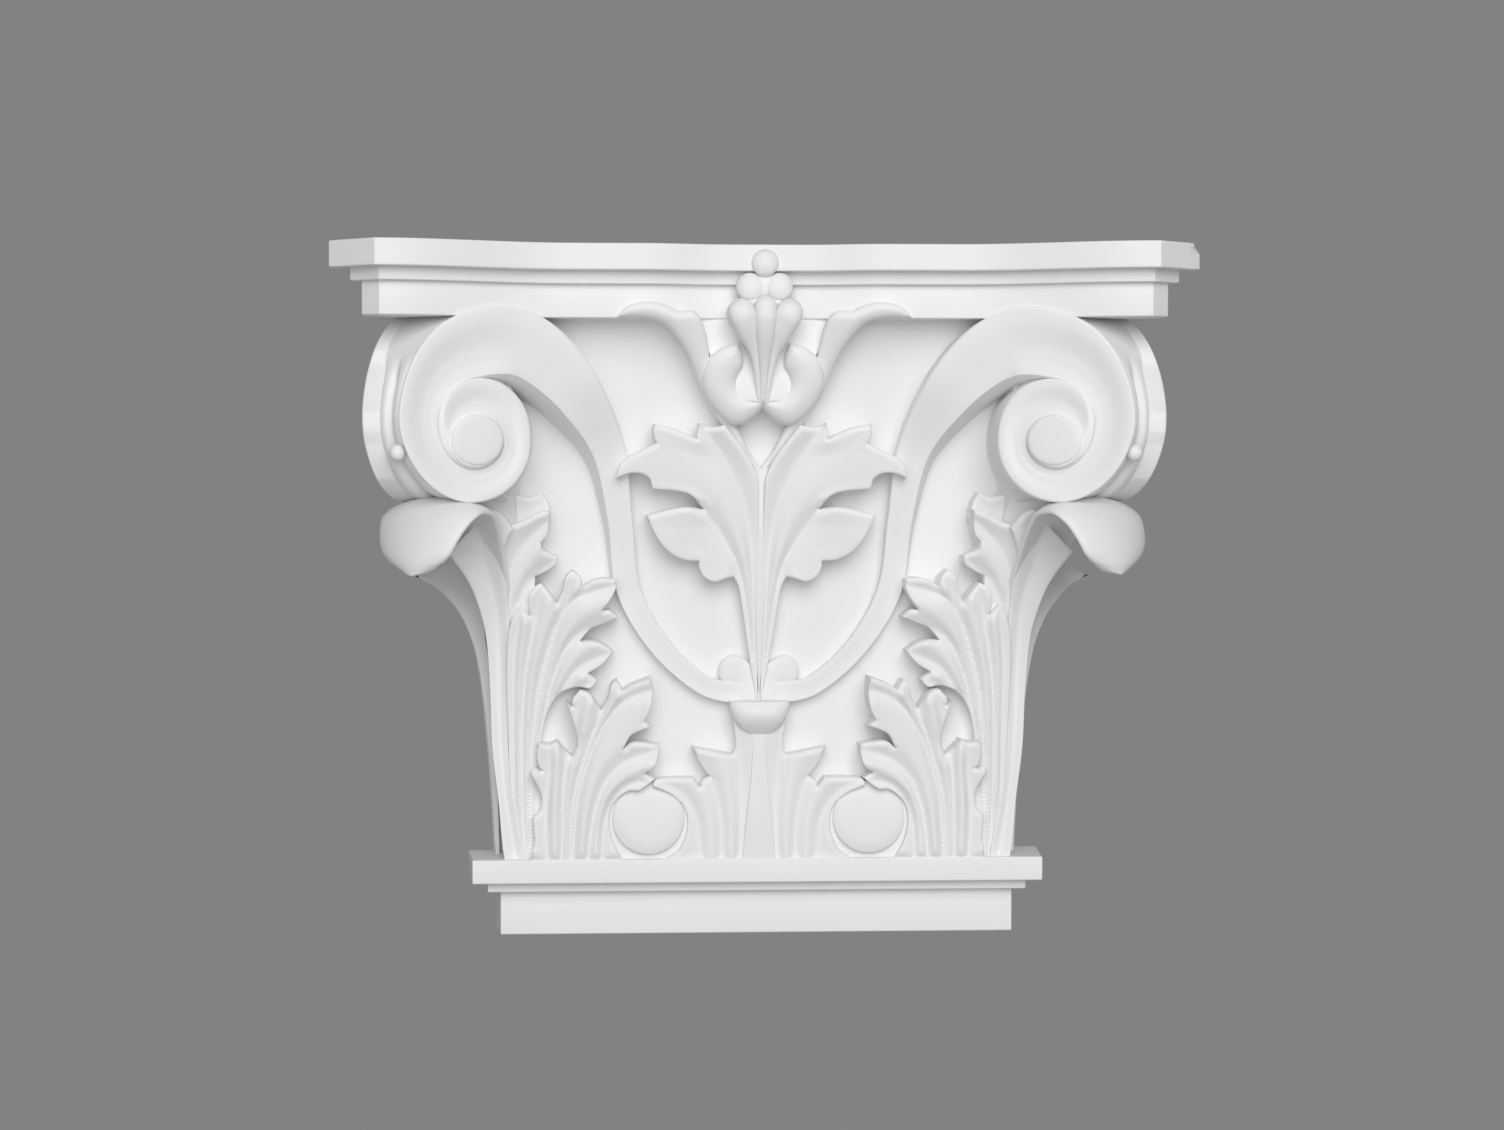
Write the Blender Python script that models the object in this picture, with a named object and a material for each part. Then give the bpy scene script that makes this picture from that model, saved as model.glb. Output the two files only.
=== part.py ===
"""Corinthian pilaster capital, one moulded solid, cut flat at the wall behind it.

Metres, +Z up. The origin is the centre of the flat back face, the wall is the
plane y = 0 and the front looks along -Y. The left half is modelled and mirrored.
"""
from math import cos, pi, sin, sqrt

import bmesh
import bpy
from mathutils import Vector
from mathutils.geometry import delaunay_2d_cdt

# Overall sizes
ABACUS_WIDTH = 0.300
TOTAL_HEIGHT = 0.2475
TOTAL_DEPTH = 0.0991

# Abacus: three flat tiers with canted corners and a hollow front
TOP_TIER_HEIGHT = 0.0092
FILLET_TIER_HEIGHT = 0.0046
FASCIA_HEIGHT = 0.0117
FILLET_SETBACK = 0.0060
FILLET_SIDE_SETBACK = 0.0072
FASCIA_SETBACK = 0.0090
FASCIA_SIDE_SETBACK = 0.0112
CANT_WIDTH = 0.0164
HOLLOW = 0.0241
EAR_LENGTH = 0.0176
SWEEP_LENGTH = 0.0650
MIDDLE_RECESS = 0.0064
RECESS_INNER = 0.0140
RECESS_OUTER = 0.0420
CANT_STEP = 0.0010
SIDE_HOLLOW = 0.0120

# Foot: neck, fillet and ledge, all drafted towards the wall
NECK_WIDTH = 0.1866
NECK_DEPTH = 0.0225
NECK_HEIGHT = 0.0160
FOOT_FILLET_HEIGHT = 0.0037
FOOT_FILLET_STEP = 0.0045
LEDGE_WIDTH = 0.2064
LEDGE_DEPTH = 0.0324
LEDGE_HEIGHT = 0.0086
FOOT_DRAFT = 0.0024

# Bell behind the carving
BELL_WIDTH = 0.1840
BELL_DEPTH = 0.0250
BELL_FLARE = 0.0260
BELL_SIDE_FLARE = 0.0180
FLARE_POWER = 2.2
BELL_CORNER = 0.0080

# Corner volutes
VOLUTE_SLOPE = 0.53
VOLUTE_THICKNESS = 0.0030
CORNER_INSET = 0.1050
EYE_DEPTH_SHARE = 0.812
VOLUTE_WALL = 0.0400
FACE_CLEARANCE = 0.0040
ROOT_PLAN = ((-0.0835, 0.0300), (-0.0860, 0.0640), (-0.1060, 0.0730), (-0.1145, 0.0695),
             (-0.1180, 0.0610), (-0.1110, 0.0410))
ROOT_RISE = 0.70
TURN_GAP = 0.0004
RIM_GROOVE = 0.0022
RIM_STEPS = 20
RIM_SHARES = (0, 0.16, 0.28, 0.5, 0.72, 0.84, 1)
RIM_GROOVES = (0, 0, 1, 0.2, 1, 0, 0)
FLUTED_BELOW = 0.75
CHIP_WIDTH = 0.0024
CHIP_HEIGHT = 0.0038
CHIP_START = 0.0200

# How the solids overlap and how finely they are faceted
SINK = 0.0030
BACK_MARGIN = 0.0050
BLADE_STEPS = 6
LEAF_STEPS = 1
VEIN_SHARES = (0.14, 0.36, 0.56, 0.75, 0.92)
RIDGE_SHARE = 0.8
LEAF_GAP = 0.0012
THIN_HALF = 0.0002
KEPT_FACETS = 0.74
RISE_STEPS = 13
SPIRAL_TURN_STEPS = 12
CURVE_STEPS = 7
ROUND_STEPS = 14

HALF_WIDTH = ABACUS_WIDTH / 2
LEDGE_TOP = NECK_HEIGHT + FOOT_FILLET_HEIGHT + LEDGE_HEIGHT
FASCIA_BOTTOM = TOTAL_HEIGHT - TOP_TIER_HEIGHT - FILLET_TIER_HEIGHT - FASCIA_HEIGHT
FIELD_HEIGHT = FASCIA_BOTTOM - LEDGE_TOP
BASE = -TOTAL_HEIGHT / 2
CORNER_OFFSET = HALF_WIDTH - CORNER_INSET
VOLUTE_EYE_DEPTH = EYE_DEPTH_SHARE * TOTAL_DEPTH
ROOT_BOTTOM = LEDGE_TOP + ROOT_RISE * FIELD_HEIGHT

# Carved forms, in hundredths: across is of the abacus half width, up is of the height
# of the carved field above the ledge, and a lift is of the total depth above the bell.
# A leaf is its outline, as smooth runs that meet in points and notches, its veins from
# the foot up, the lift at its foot and top, and how fast it leaves the bell.
TALL_LEAF = {
    'outline': (
        ((-57.2, -1), (-59.6, 11.2), (-60.2, 22.5), (-60.4, 37.5), (-59.4, 44.5), (-57, 47.7)),
        ((-54.9, 45.8),), ((-55.1, 49), (-53.9, 51), (-52.2, 51.8)),
        ((-50.3, 50.1), (-48.4, 48.2)), ((-47.2, 50.5), (-46.3, 53.1), (-44.6, 54.2)),
        ((-43, 52.9), (-42.3, 51.2)), ((-40.1, 52.3), (-37.5, 52.7), (-34.4, 52.5)),
        ((-34.4, 51), (-35.6, 49), (-37.7, 46.7)), ((-35.8, 46.7), (-33.9, 45.4)),
        ((-37.3, 44.3), (-40.6, 43.2), (-43, 41)), ((-40.1, 41.1), (-37.3, 40.4), (-35.1, 39.1)),
        ((-37.5, 36.8), (-41.1, 35)), ((-38.7, 33.7),),
        ((-40.6, 32.2), (-43.7, 32.4), (-47.3, 31.4), (-50.2, 28.6), (-51.9, 24.3), (-52.6, 19.3)),
        ((-51.9, 11.2), (-50.7, -1))),
    'veins': (
        ((-58.4, 0), (-58.8, 18.7), (-58.7, 31.9), (-58.5, 39.3), (-57.2, 46.4)),
        ((-56.5, 0), (-56.9, 18.7), (-56.4, 31.8), (-54.7, 41.2), (-52.2, 51)),
        ((-55.1, 0), (-54.8, 18.7), (-52.5, 31.8), (-49.4, 41.2), (-46.3, 48.6), (-44.6, 53.6)),
        ((-54.6, 0), (-54.5, 15), (-53.5, 30), (-50.8, 39.3), (-47.7, 45.3), (-43.4, 49.2),
         (-34.9, 51.4)),
        ((-53.6, 0), (-53.3, 13.1), (-51.9, 26.2), (-48.7, 35.6), (-44.2, 41.7), (-34.6, 45.4)),
        ((-52.7, 0), (-52.4, 11.2), (-50.7, 23.4), (-47.8, 30.5), (-43.5, 35.9), (-35.6, 38.9)),
        ((-51.9, 0), (-51.9, 11.2), (-51.2, 21.5), (-48.5, 28.4), (-44.2, 31.4), (-39.2, 33.5))),
    'lift': (5, 14), 'power': 1.6, 'gutter': 0.0024,
}
LOW_LEAF = {
    'outline': (
        ((-52.7, -1), (-54.1, 7.6), (-54.5, 13.2), (-52.4, 16.8)), ((-53.3, 19.2), (-53, 22.2)),
        ((-50.7, 21.8), (-48.5, 22.4)), ((-47.1, 21.1), (-44.9, 19.4)),
        ((-43.7, 22.2), (-44.7, 25.9), (-46.3, 29.7)), ((-44.9, 28.9),),
        ((-44.7, 30.4), (-43, 31.9)), ((-40.6, 31.2), (-38, 28.2)),
        ((-36.3, 30.6), (-35.6, 33), (-34.2, 33.8)), ((-32.8, 31.9),),
        ((-30.6, 33), (-26.1, 34.3)), ((-25.8, 30.9), (-26.5, 28.1), (-27.7, 26.3)),
        ((-26, 25.1),), ((-28.7, 24.4), (-31.1, 23.3), (-32.7, 20.8)),
        ((-30.6, 22.1), (-27.5, 22.1), (-24.1, 21.6)),
        ((-24.4, 19.3), (-25.5, 17.2), (-27.5, 16.3)), ((-25.1, 15.2),),
        ((-28.7, 13.1), (-31.5, 12.9), (-34.9, 10.7), (-36.1, 7.5), (-35.1, 3.2), (-32, -1))),
    'veins': (
        ((-50.7, 0), (-51.2, 9.5), (-50.4, 16), (-50.4, 21.7)),
        ((-47.4, 0), (-47.1, 11.3), (-45.9, 20.7), (-44, 27.3), (-42.5, 31.4)),
        ((-45.5, 0), (-44.7, 11.3), (-41.1, 21.6), (-37.3, 29.1), (-34.4, 33.2)),
        ((-44.7, 0), (-43.5, 11.3), (-40.6, 19.7), (-36.8, 25.9), (-32.3, 30), (-26.8, 31.9)),
        ((-41.1, 0), (-39.7, 8.5), (-36.8, 14.7), (-32.3, 18.4), (-24.8, 20.8)),
        ((-37.8, 0), (-37.3, 6.6), (-34.9, 11.3), (-31.1, 14.1), (-25.5, 15))),
    'lift': (6, 14), 'power': 1.4, 'gutter': 0.0024,
}
MIDDLE_LEAF = {
    'outline': (
        ((-21.9, -1), (-19, 2), (-17.3, 5.3), (-17.3, 8.2), (-18.5, 10.4)),
        ((-21.4, 12.3), (-25.5, 13.8)), ((-24.8, 15), (-20.2, 15.3), (-15.8, 15.3)),
        ((-14.2, 13.6),), ((-13.7, 14.7), (-12, 15.5)), ((-14.2, 18.1), (-16.1, 21.1)),
        ((-11.8, 20.4), (-6.5, 19.6)), ((-5.7, 21.3), (-6.3, 26), (-7, 29.4)), ((-0.3, 29.4),),
        ((-0.3, -1),)),
    'veins': (
        ((-14.1, 0), (-14.6, 6.3), (-16.6, 10.4), (-20.2, 13.3), (-24.5, 14.4)),
        ((-8.8, 0), (-9.1, 7.2), (-10.8, 13.8), (-13.4, 17.6), (-15.6, 20.4)),
        ((-4.5, 0), (-4.2, 9), (-4.5, 16.6), (-5.1, 27.9))),
    'lift': (4.5, 6), 'power': 1.0, 'gutter': 0.0018,
}
CENTRE_LEAF = {
    'outline': (
        ((-0.9, 31), (-2.3, 37.3), (-3.8, 44.8), (-5, 50.4), (-6.3, 52.8)),
        ((-8.7, 52.4), (-11, 51.9), (-13.4, 52.8), (-14.6, 54.5), (-14.7, 55.8)),
        ((-18.2, 56), (-21.6, 57.3), (-24.7, 60.1), (-27.3, 64.3)),
        ((-22.8, 65.2), (-18.1, 65.8), (-13.8, 65.4)),
        ((-16.4, 67.8), (-19.8, 68.7), (-25.9, 69.1)), ((-26.4, 70.9),),
        ((-28.3, 71.9), (-31.1, 72), (-34.4, 71.1)),
        ((-33.7, 73.3), (-32.1, 74.8), (-28.8, 76.1), (-25, 77.5)), ((-25.8, 79.3), (-25.6, 81)),
        ((-21.8, 80.4), (-18, 79.3), (-15.6, 78.4)), ((-15, 81.2),), ((-12.4, 80.4), (-9.5, 80.8)),
        ((-5.7, 76.2), (-3.2, 71.7), (-2, 67.1), (-1.3, 56), (-0.5, 41), (-0.3, 29.4))),
    'veins': (
        ((-1.8, 37.3), (-3.6, 48.5), (-7.7, 56), (-14.5, 60.6), (-26.4, 63.8)),
        ((-1, 29.7), (-2.3, 41), (-6.1, 56), (-11.7, 65.2), (-19.3, 70.8), (-27.6, 72.6),
         (-33.5, 71.9)),
        ((-0.5, 29.7), (-1.4, 48.5), (-3.1, 63.4), (-7, 72.6), (-13.5, 79.9))),
    'lift': (4, 11), 'power': 0.8, 'gutter': 0.0022,
}
CORNER_LOBES = {
    'outline': (
        ((-62.1, 30.1), (-62.7, 41.3), (-62.4, 50.6), (-60.9, 57), (-58.7, 62)),
        ((-55.9, 63.5), (-52.8, 64.8), (-50, 65.3)), ((-50.3, 62.6), (-50.7, 60.7), (-52.2, 59.4)),
        ((-51.7, 58), (-48.4, 56.8)), ((-48.6, 55.4), (-50.3, 54.3), (-53.6, 53)),
        ((-55.3, 50.6), (-57.2, 45.9), (-59.4, 39.4), (-60.4, 30.1))),
    'veins': (
        ((-61.4, 30.1), (-61.5, 41.3), (-60.5, 50.6), (-57.4, 58), (-51, 63.1)),
        ((-60.6, 30.1), (-59.9, 41.3), (-56.2, 50.6), (-49.1, 56.1))),
    'lift': (4, 16), 'power': 1.4, 'gutter': 0.0024,
}
BACK_LOBE = {
    'outline': (
        ((-60.8, 54), (-59, 63), (-57.1, 66.5), (-54.5, 67.6), (-51.7, 68.4)),
        ((-50.3, 66.2), (-49.8, 63.4)), ((-52.4, 58.7), (-56, 53.1))),
    'veins': (
        ((-58.4, 54.1), (-56.2, 61.6), (-51.7, 67.6)),),
    'lift': (7, 10), 'power': 1.0, 'gutter': 0.0018,
}
STALK = {
    'outline': (
        ((-60.8, -1), (-62.7, 11.2), (-64.1, 20.7), (-64.5, 30.1), (-65.1, 39.4), (-66.2, 45),
         (-69, 51.5), (-74.1, 57.6)), ((-68.9, 61.5), (-64.8, 65.1), (-61.8, 65), (-58.7, 62)),
        ((-60.9, 57), (-60, 48.7), (-59.6, 41.3), (-60.2, 30), (-60, 18.8), (-58.6, 11.2),
         (-56, -1))),
    'veins': (
        ((-58.4, 0), (-60.8, 11.2), (-61.9, 20.6), (-62.3, 30), (-62.5, 39.4), (-63.3, 48.7),
         (-66.5, 59.8)),),
    'lift': (4, 22), 'power': 4.0, 'gutter': 0.003,
}
# Stems, petals and drops: rows of (across, up, half width, lift) along the midline
STEM = ((0, 28, 1.6, 6.5), (0, 48, 1.6, 7), (0, 73, 1.6, 8))
SPEAR = ((0, 0, 3.6, 5), (0, 11, 2.2, 5.5), (0, 23, 0.5, 5.5))
TENDRIL = ((0, 70.5, 1.3, 7), (-4.3, 77.0, 1.3, 7), (-11.2, 84.8, 1.7, 12),
           (-15.6, 92.2, 2.7, 15), (-18.0, 97.0, 3.2, 18), (-22.5, 100.6, 2.7, 20),
           (-28.3, 101.5, 1.9, 20), (-34.4, 100.0, 0.3, 20))
PETAL = ((-5.9, 95.2, 0.8, 15), (-9.9, 92.1, 3.0, 17), (-11.0, 88.0, 3.7, 18),
         (-8.4, 84.2, 3.8, 18), (-3.7, 83.4, 2.8, 18), (-0.2, 84.6, 1.2, 17))
MIDDLE_DROP = ((0, 85.9, 0.5, 14), (0, 94.3, 1.2, 18), (0, 100.7, 2.3, 22), (0, 104.6, 0.8, 22))
SIDE_DROP = ((-1.1, 87.1, 0.5, 14), (-3.2, 94.8, 1.2, 17), (-5.9, 100.6, 2.8, 21),
             (-6.6, 103.6, 1.3, 21))

# The volute band from the calyx up to the corner: (across, up, half width, depth),
# the depth in hundredths of the total depth, from the wall.
VOLUTE_RISE = ((-4.0, 31.0, 2.6, 32.5), (-13.2, 32.5, 2.3, 33), (-23.8, 39.9, 2.5, 34.5),
               (-31.3, 50.3, 2.9, 37), (-33.7, 63.4, 3.3, 42.5), (-36.8, 75.9, 4.6, 50),
               (-43.4, 85.3, 6.6, 61), (-50.5, 91.6, 7.9, 67.5), (-58.2, 95.0, 8.2, 74))
# Its spiral about the eye: reach of the outer edge at each quarter turn from the top,
# and the eye's radius, in hundredths of the field height
EYE = (-66.4, 78.0)
EYE_RADIUS = 4.3
SPIRAL_REACH = (24.0, 13.4, 11.0, 9.4, 11.0, 6.7, 5.5, 4.9, 4.5, 4.2, 4.0, 3.9)
QUARTERS = 4
EYE_SINK = 0.0100
EYE_RIM = 0.0008
EYE_CROWN = 0.0020

# Berries, lifted from the abacus front, then bosses, lifted from the bell:
# (across, up, radius in hundredths of the half width, lift)
TOP_BERRY = (0, 110.1, 3.0, 0)
SIDE_BERRY = (-4.3, 105.6, 3.0, -2.8)
ROUND_DISC = (-26.6, 7.6, 8.4, 9)
CALYX = (0, 27.4, 7.0, 6)
BOSS_SINK = 0.0090
DISC_RISE = 0.0015
CURL_RISE = 0.0010
CALYX_RISE = 0.0060
CALYX_SQUASH = 0.62
SMALL_CURL = (-6.2, 35.2, 3.1, 5)

# The overhanging tongue of the corner leaf: (across, depth, up, half width)
TONGUE = ((-58.0, 20, 38, 3), (-64.0, 38, 54.0, 7), (-70.5, 56, 64.0, 12),
          (-77.0, 73, 66.5, 14), (-80.7, 81, 64.2, 13.8), (-82.3, 84.4, 60.4, 12.2),
          (-82.9, 85.5, 57.0, 9.6), (-83.1, 85.8, 54.8, 5.0))
TONGUE_THICKNESS = 0.0040
TONGUE_DROOP = 0.0030
TONGUE_STEPS = 13

# Leaf on the side face, half of it cut off by the wall: (out, up, half width)
SIDE_LEAF = ((0.0042, -1, 9.0), (0.0062, 20, 9.0), (0.0085, 36, 9.0),
             (0.0150, 46, 8.0), (0.0270, 50, 4.0))


def flare(height):
    """Share of the bell's flare at a height above the underside, 0 at the ledge."""
    share = min(max((height - LEDGE_TOP) / FIELD_HEIGHT, 0.0), 1.0)
    return share ** FLARE_POWER


def bell_depth(height):
    """Depth of the bell's front, from the wall, at a height above the underside."""
    return BELL_DEPTH + BELL_FLARE * flare(height)


def bell_half_width(height):
    """Half width of the bell at a height above the underside."""
    return BELL_WIDTH / 2 + BELL_SIDE_FLARE * flare(height)


def place(across, depth, height):
    """A point from its distance across, its depth from the wall and its height."""
    return Vector((across, -depth, height + BASE))


def field_point(across, up):
    """Across and height, in metres, of a point given in hundredths of the field."""
    return across / 100 * HALF_WIDTH, LEDGE_TOP + up / 100 * FIELD_HEIGHT


def smooth(rows, steps):
    """Rows read off a Catmull-Rom curve through the given rows."""
    ends = [rows[0]] + list(rows) + [rows[-1]]
    result = []
    spans = len(rows) - 1
    for step in range(steps + 1):
        place_on_curve = step / steps * spans
        span = min(int(place_on_curve), spans - 1)
        t = place_on_curve - span
        before, start, end, after = (Vector(ends[span + k]) for k in range(4))
        result.append((2 * start + (end - before) * t
                       + (2 * before - 5 * start + 4 * end - after) * t ** 2
                       + (3 * start - before - 3 * end + after) * t ** 3) / 2)
    return result


def headings(points):
    """Unit vectors across a flat path, to its left, at each of its points."""
    result = []
    for index in range(len(points)):
        ahead = points[min(index + 1, len(points) - 1)]
        behind = points[max(index - 1, 0)]
        along = Vector((ahead[0] - behind[0], ahead[1] - behind[1])).normalized()
        result.append(Vector((-along.y, along.x)))
    return result


def finished(name, bm):
    """An object from a closed body, its facets triangles that face out."""
    bmesh.ops.triangulate(bm, faces=bm.faces)
    bmesh.ops.recalc_face_normals(bm, faces=bm.faces)
    mesh = bpy.data.meshes.new(name)
    bm.to_mesh(mesh)
    bm.free()
    return bpy.data.objects.new(name, mesh)


def closed_loft(name, rings):
    """One closed body: equal rings of points skinned in order, with both ends filled."""
    bm = bmesh.new()
    loops = [[bm.verts.new(point) for point in ring] for ring in rings]
    count = len(rings[0])
    for near, far in zip(loops, loops[1:]):
        for k in range(count):
            bm.faces.new((near[k], near[(k + 1) % count], far[(k + 1) % count], far[k]))
    bm.faces.new(reversed(loops[0]))
    bm.faces.new(loops[-1])
    return finished(name, bm)


def blade(name, rows, hollow=0.30, steps=BLADE_STEPS, draft=1.08):
    """A leaf lobe, stem or petal that stands on the bell along a curved midline.

    Its section has two edges and a middle, lower than the edges by hollow times the
    half width, or higher where hollow is negative, and its foot lies in the bell.
    """
    points = []
    for across, up, half, lift in smooth(rows, steps):
        x, z = field_point(across, up)
        points.append((x, z, half / 100 * HALF_WIDTH, bell_depth(z) + lift / 100 * TOTAL_DEPTH))
    rings = []
    for (x, z, half, depth), side in zip(points, headings(points)):
        half = max(half, THIN_HALF)
        ring = []
        for share, rise in ((-1, 0), (0, -hollow * half), (1, 0)):
            ring.append(place(x + side.x * half * share, depth + rise, z + side.y * half * share))
        for share in (draft, -draft):
            foot = z + side.y * half * share
            ring.append(place(x + side.x * half * share, bell_depth(foot) - SINK, foot))
        rings.append(ring)
    return closed_loft(name, rings)


def outline_points(runs, steps):
    """Points of a closed outline: each run is smooth and starts where the last ended."""
    points = []
    corner = runs[-1][-1]
    for run in runs:
        along = [corner] + list(run) if corner != run[0] else list(run)
        spans = len(along) - 1
        points += [tuple(point) for point in smooth(along, spans * steps)[1:]]
        corner = run[-1]
    return points


def distance_to(point, line):
    """Distance from a point to a line of points."""
    reach = []
    for start, end in zip(line, line[1:]):
        run = end - start
        share = min(max((point - start).dot(run) / run.length_squared, 0.0), 1.0)
        reach.append((point - start - run * share).length)
    return min(reach)


def inside(spot, outline):
    """Whether a spot lies inside a closed outline."""
    crossings = 0
    for start, end in zip(outline, outline[1:] + outline[:1]):
        if (start.y > spot.y) != (end.y > spot.y):
            meet = start.x + (spot.y - start.y) / (end.y - start.y) * (end.x - start.x)
            crossings += meet > spot.x
    return crossings % 2 == 1


def read_off(vein, share):
    """The point at a share of a vein's length."""
    spans = len(vein) - 1
    index = min(int(share * spans), spans - 1)
    return vein[index].lerp(vein[index + 1], share * spans - index)


def leaf(name, form):
    """A leaf as one closed plate with its foot in the bell.

    Its rim stands at full height, a gutter runs up each vein and a ridge between two.
    """
    outline = [Vector(field_point(*point)) for point in outline_points(form['outline'], LEAF_STEPS)]
    veins = [[Vector(field_point(*point)) for point in vein] for vein in form['veins']]
    low = min(point.y for point in outline)
    high = max(point.y for point in outline)
    closed = outline + outline[:1]
    spots = list(outline)
    levels = [1.0] * len(outline)
    rows = [(vein, vein, 0.0) for vein in veins]
    rows += [(left, right, RIDGE_SHARE) for left, right in zip(veins, veins[1:])]
    for left, right, level in rows:
        for share in VEIN_SHARES:
            spot = read_off(left, share).lerp(read_off(right, share), 0.5)
            near = min((spot - other).length for other in spots)
            if inside(spot, outline) and distance_to(spot, closed) > LEAF_GAP and near > LEAF_GAP:
                spots.append(spot)
                levels.append(level)

    rim = list(range(len(outline)))
    spots, _, faces, _, _, _ = delaunay_2d_cdt(spots, [], [rim], 1, 1e-7)
    _, _, back, _, _, _ = delaunay_2d_cdt(outline, [], [rim], 1, 1e-7)
    bm = bmesh.new()
    top = []
    for spot, level in zip(spots, levels):
        rise = (spot.y - low) / (high - low)
        lift = form['lift'][0] + (form['lift'][1] - form['lift'][0]) * rise ** form['power']
        depth = bell_depth(spot.y) + lift / 100 * TOTAL_DEPTH + level * form['gutter']
        top.append(bm.verts.new(place(spot.x, depth, spot.y)))
    foot = [bm.verts.new(place(spot.x, bell_depth(spot.y) - SINK, spot.y)) for spot in outline]
    for face in faces:
        bm.faces.new([top[k] for k in face])
    for face in back:
        bm.faces.new([foot[k] for k in reversed(face)])
    for k in rim:
        ahead = (k + 1) % len(rim)
        bm.faces.new((top[k], foot[k], foot[ahead], top[ahead]))
    return finished(name, bm)


def dome(name, row, rise, base_drop, squash=1.0, flat=0.35):
    """A round boss on the bell: a flat or full crown over a straight rim."""
    across, up, radius, lift = row
    x, z = field_point(across, up)
    radius = radius / 100 * HALF_WIDTH
    depth = bell_depth(z) + lift / 100 * TOTAL_DEPTH
    rings = []
    levels = ((0.999, -base_drop), (1.0, 0.0), (0.80, 0.62 * rise), (flat, rise))
    for share, level in levels:
        rings.append([place(x + radius * share * cos(2 * pi * k / ROUND_STEPS), depth + level,
                            z + radius * share * squash * sin(2 * pi * k / ROUND_STEPS))
                      for k in range(ROUND_STEPS)])
    return closed_loft(name, rings)


def ball(name, row):
    """A berry."""
    across, up, radius, lift = row
    x, z = field_point(across, up)
    bm = bmesh.new()
    bmesh.ops.create_uvsphere(bm, u_segments=10, v_segments=7, radius=radius / 100 * HALF_WIDTH)
    depth = abacus_front(x) + lift / 100 * TOTAL_DEPTH
    bmesh.ops.translate(bm, verts=bm.verts, vec=place(x, depth, z))
    return finished(name, bm)


def step_between(value, low, high):
    """Smooth step from 0 at low to 1 at high."""
    share = min(max((value - low) / (high - low), 0.0), 1.0)
    return share * share * (3 - 2 * share)


def abacus_front(x):
    """Depth of the top tier's front edge: flat ears, an S sweep and a recessed middle."""
    reach = abs(x)
    ear = HALF_WIDTH - EAR_LENGTH
    drop = HOLLOW * (1 - step_between(reach, ear - SWEEP_LENGTH, ear))
    recess = MIDDLE_RECESS * (1 - step_between(reach, RECESS_INNER, RECESS_OUTER))
    return TOTAL_DEPTH - drop - recess


def fascia_front(x):
    """Depth of the fascia's front."""
    return abacus_front(x) - FASCIA_SETBACK


def abacus_side(depth):
    """How far out the top tier's side lies at a depth from the wall."""
    corner = TOTAL_DEPTH - CANT_WIDTH
    return HALF_WIDTH - SIDE_HOLLOW * (1 - step_between(depth, 0, corner * 0.8))


def upright(plan, height):
    """A ring of points at a height from the left half of its plan, back to front."""
    right = [(-x, depth) for x, depth in reversed(plan) if x < -0.0001]
    return [place(x, depth, height) for x, depth in plan + right]


def tier(name, bottom, top, setback, side_setback):
    """One tier of the abacus from its plan outline."""
    cant_x = HALF_WIDTH - CANT_WIDTH - (CANT_STEP if setback else 0)
    cant_depth = TOTAL_DEPTH - setback
    outer_x = HALF_WIDTH - side_setback
    outer_depth = cant_depth - (outer_x - cant_x)
    plan = []
    for k in range(CURVE_STEPS + 1):
        depth = outer_depth * k / CURVE_STEPS
        out = abacus_side(depth) if k < CURVE_STEPS else HALF_WIDTH
        if k == 0:
            plan.append((-(out - side_setback), -BACK_MARGIN))
        plan.append((-(out - side_setback), depth))
    front = 2 * CURVE_STEPS
    for k in range(front + 1):
        x = -cant_x * (1 - k / front)
        plan.append((x, abacus_front(x) - setback))
    return closed_loft(name, [upright(plan, z) for z in (bottom, top)])


def foot_block(name, half_width, depth, bottom, top):
    """A straight block of the foot, splayed towards the wall."""
    back = half_width + FOOT_DRAFT * (1 + BACK_MARGIN / depth)
    plan = [(-back, -BACK_MARGIN), (-half_width, depth)]
    return closed_loft(name, [upright(plan, z) for z in (bottom, top)])


def bell():
    """The bell: a block with rounded corners that flares in a hollow curve."""
    rings = []
    for k in range(CURVE_STEPS + 1):
        height = LEDGE_TOP - SINK + (FIELD_HEIGHT + 2 * SINK) * k / CURVE_STEPS
        half = bell_half_width(height)
        depth = bell_depth(height)
        plan = [(-half, -BACK_MARGIN)]
        for turn in range(5):
            angle = pi / 8 * turn
            plan.append((-half + BELL_CORNER * (1 - cos(angle)),
                         depth - BELL_CORNER * (1 - sin(angle))))
        rings.append(upright(plan, height))
    return closed_loft('bell', rings)


def quarter_blend(values, quarter):
    """A value between the ones named at each quarter turn."""
    index = min(int(quarter), len(values) - 2)
    rows = [(value,) * 2 for value in values]
    spans = len(values) - 1
    ends = [rows[0]] + rows + [rows[-1]]
    t = min(quarter, spans) - index
    before, start, end, after = (ends[index + k][0] for k in range(4))
    return (2 * start + (end - before) * t + (2 * before - 5 * start + 4 * end - after) * t ** 2
            + (3 * start - before - 3 * end + after) * t ** 3) / 2


def spiral_reach(quarter):
    """Reach of the spiral's outer edge from the eye, at a quarter turn from the top."""
    return quarter_blend(SPIRAL_REACH, quarter) / 100 * FIELD_HEIGHT


def disc_depth(x):
    """Depth of the plane that a front volute's face lies in, rising to the corner."""
    eye_x = EYE[0] / 100 * HALF_WIDTH
    return VOLUTE_EYE_DEPTH + VOLUTE_SLOPE * (eye_x - x)


def volute_floor(x, z):
    """Depth that the foot of the volute band goes back to, inside bell or corner.

    It stops behind the face of the other volute on the same corner.
    """
    twin_limit = (-x - CORNER_OFFSET + FACE_CLEARANCE - disc_depth(-CORNER_OFFSET)) / VOLUTE_SLOPE
    return max(bell_depth(z) - SINK, disc_depth(x) - VOLUTE_WALL, twin_limit)


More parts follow.
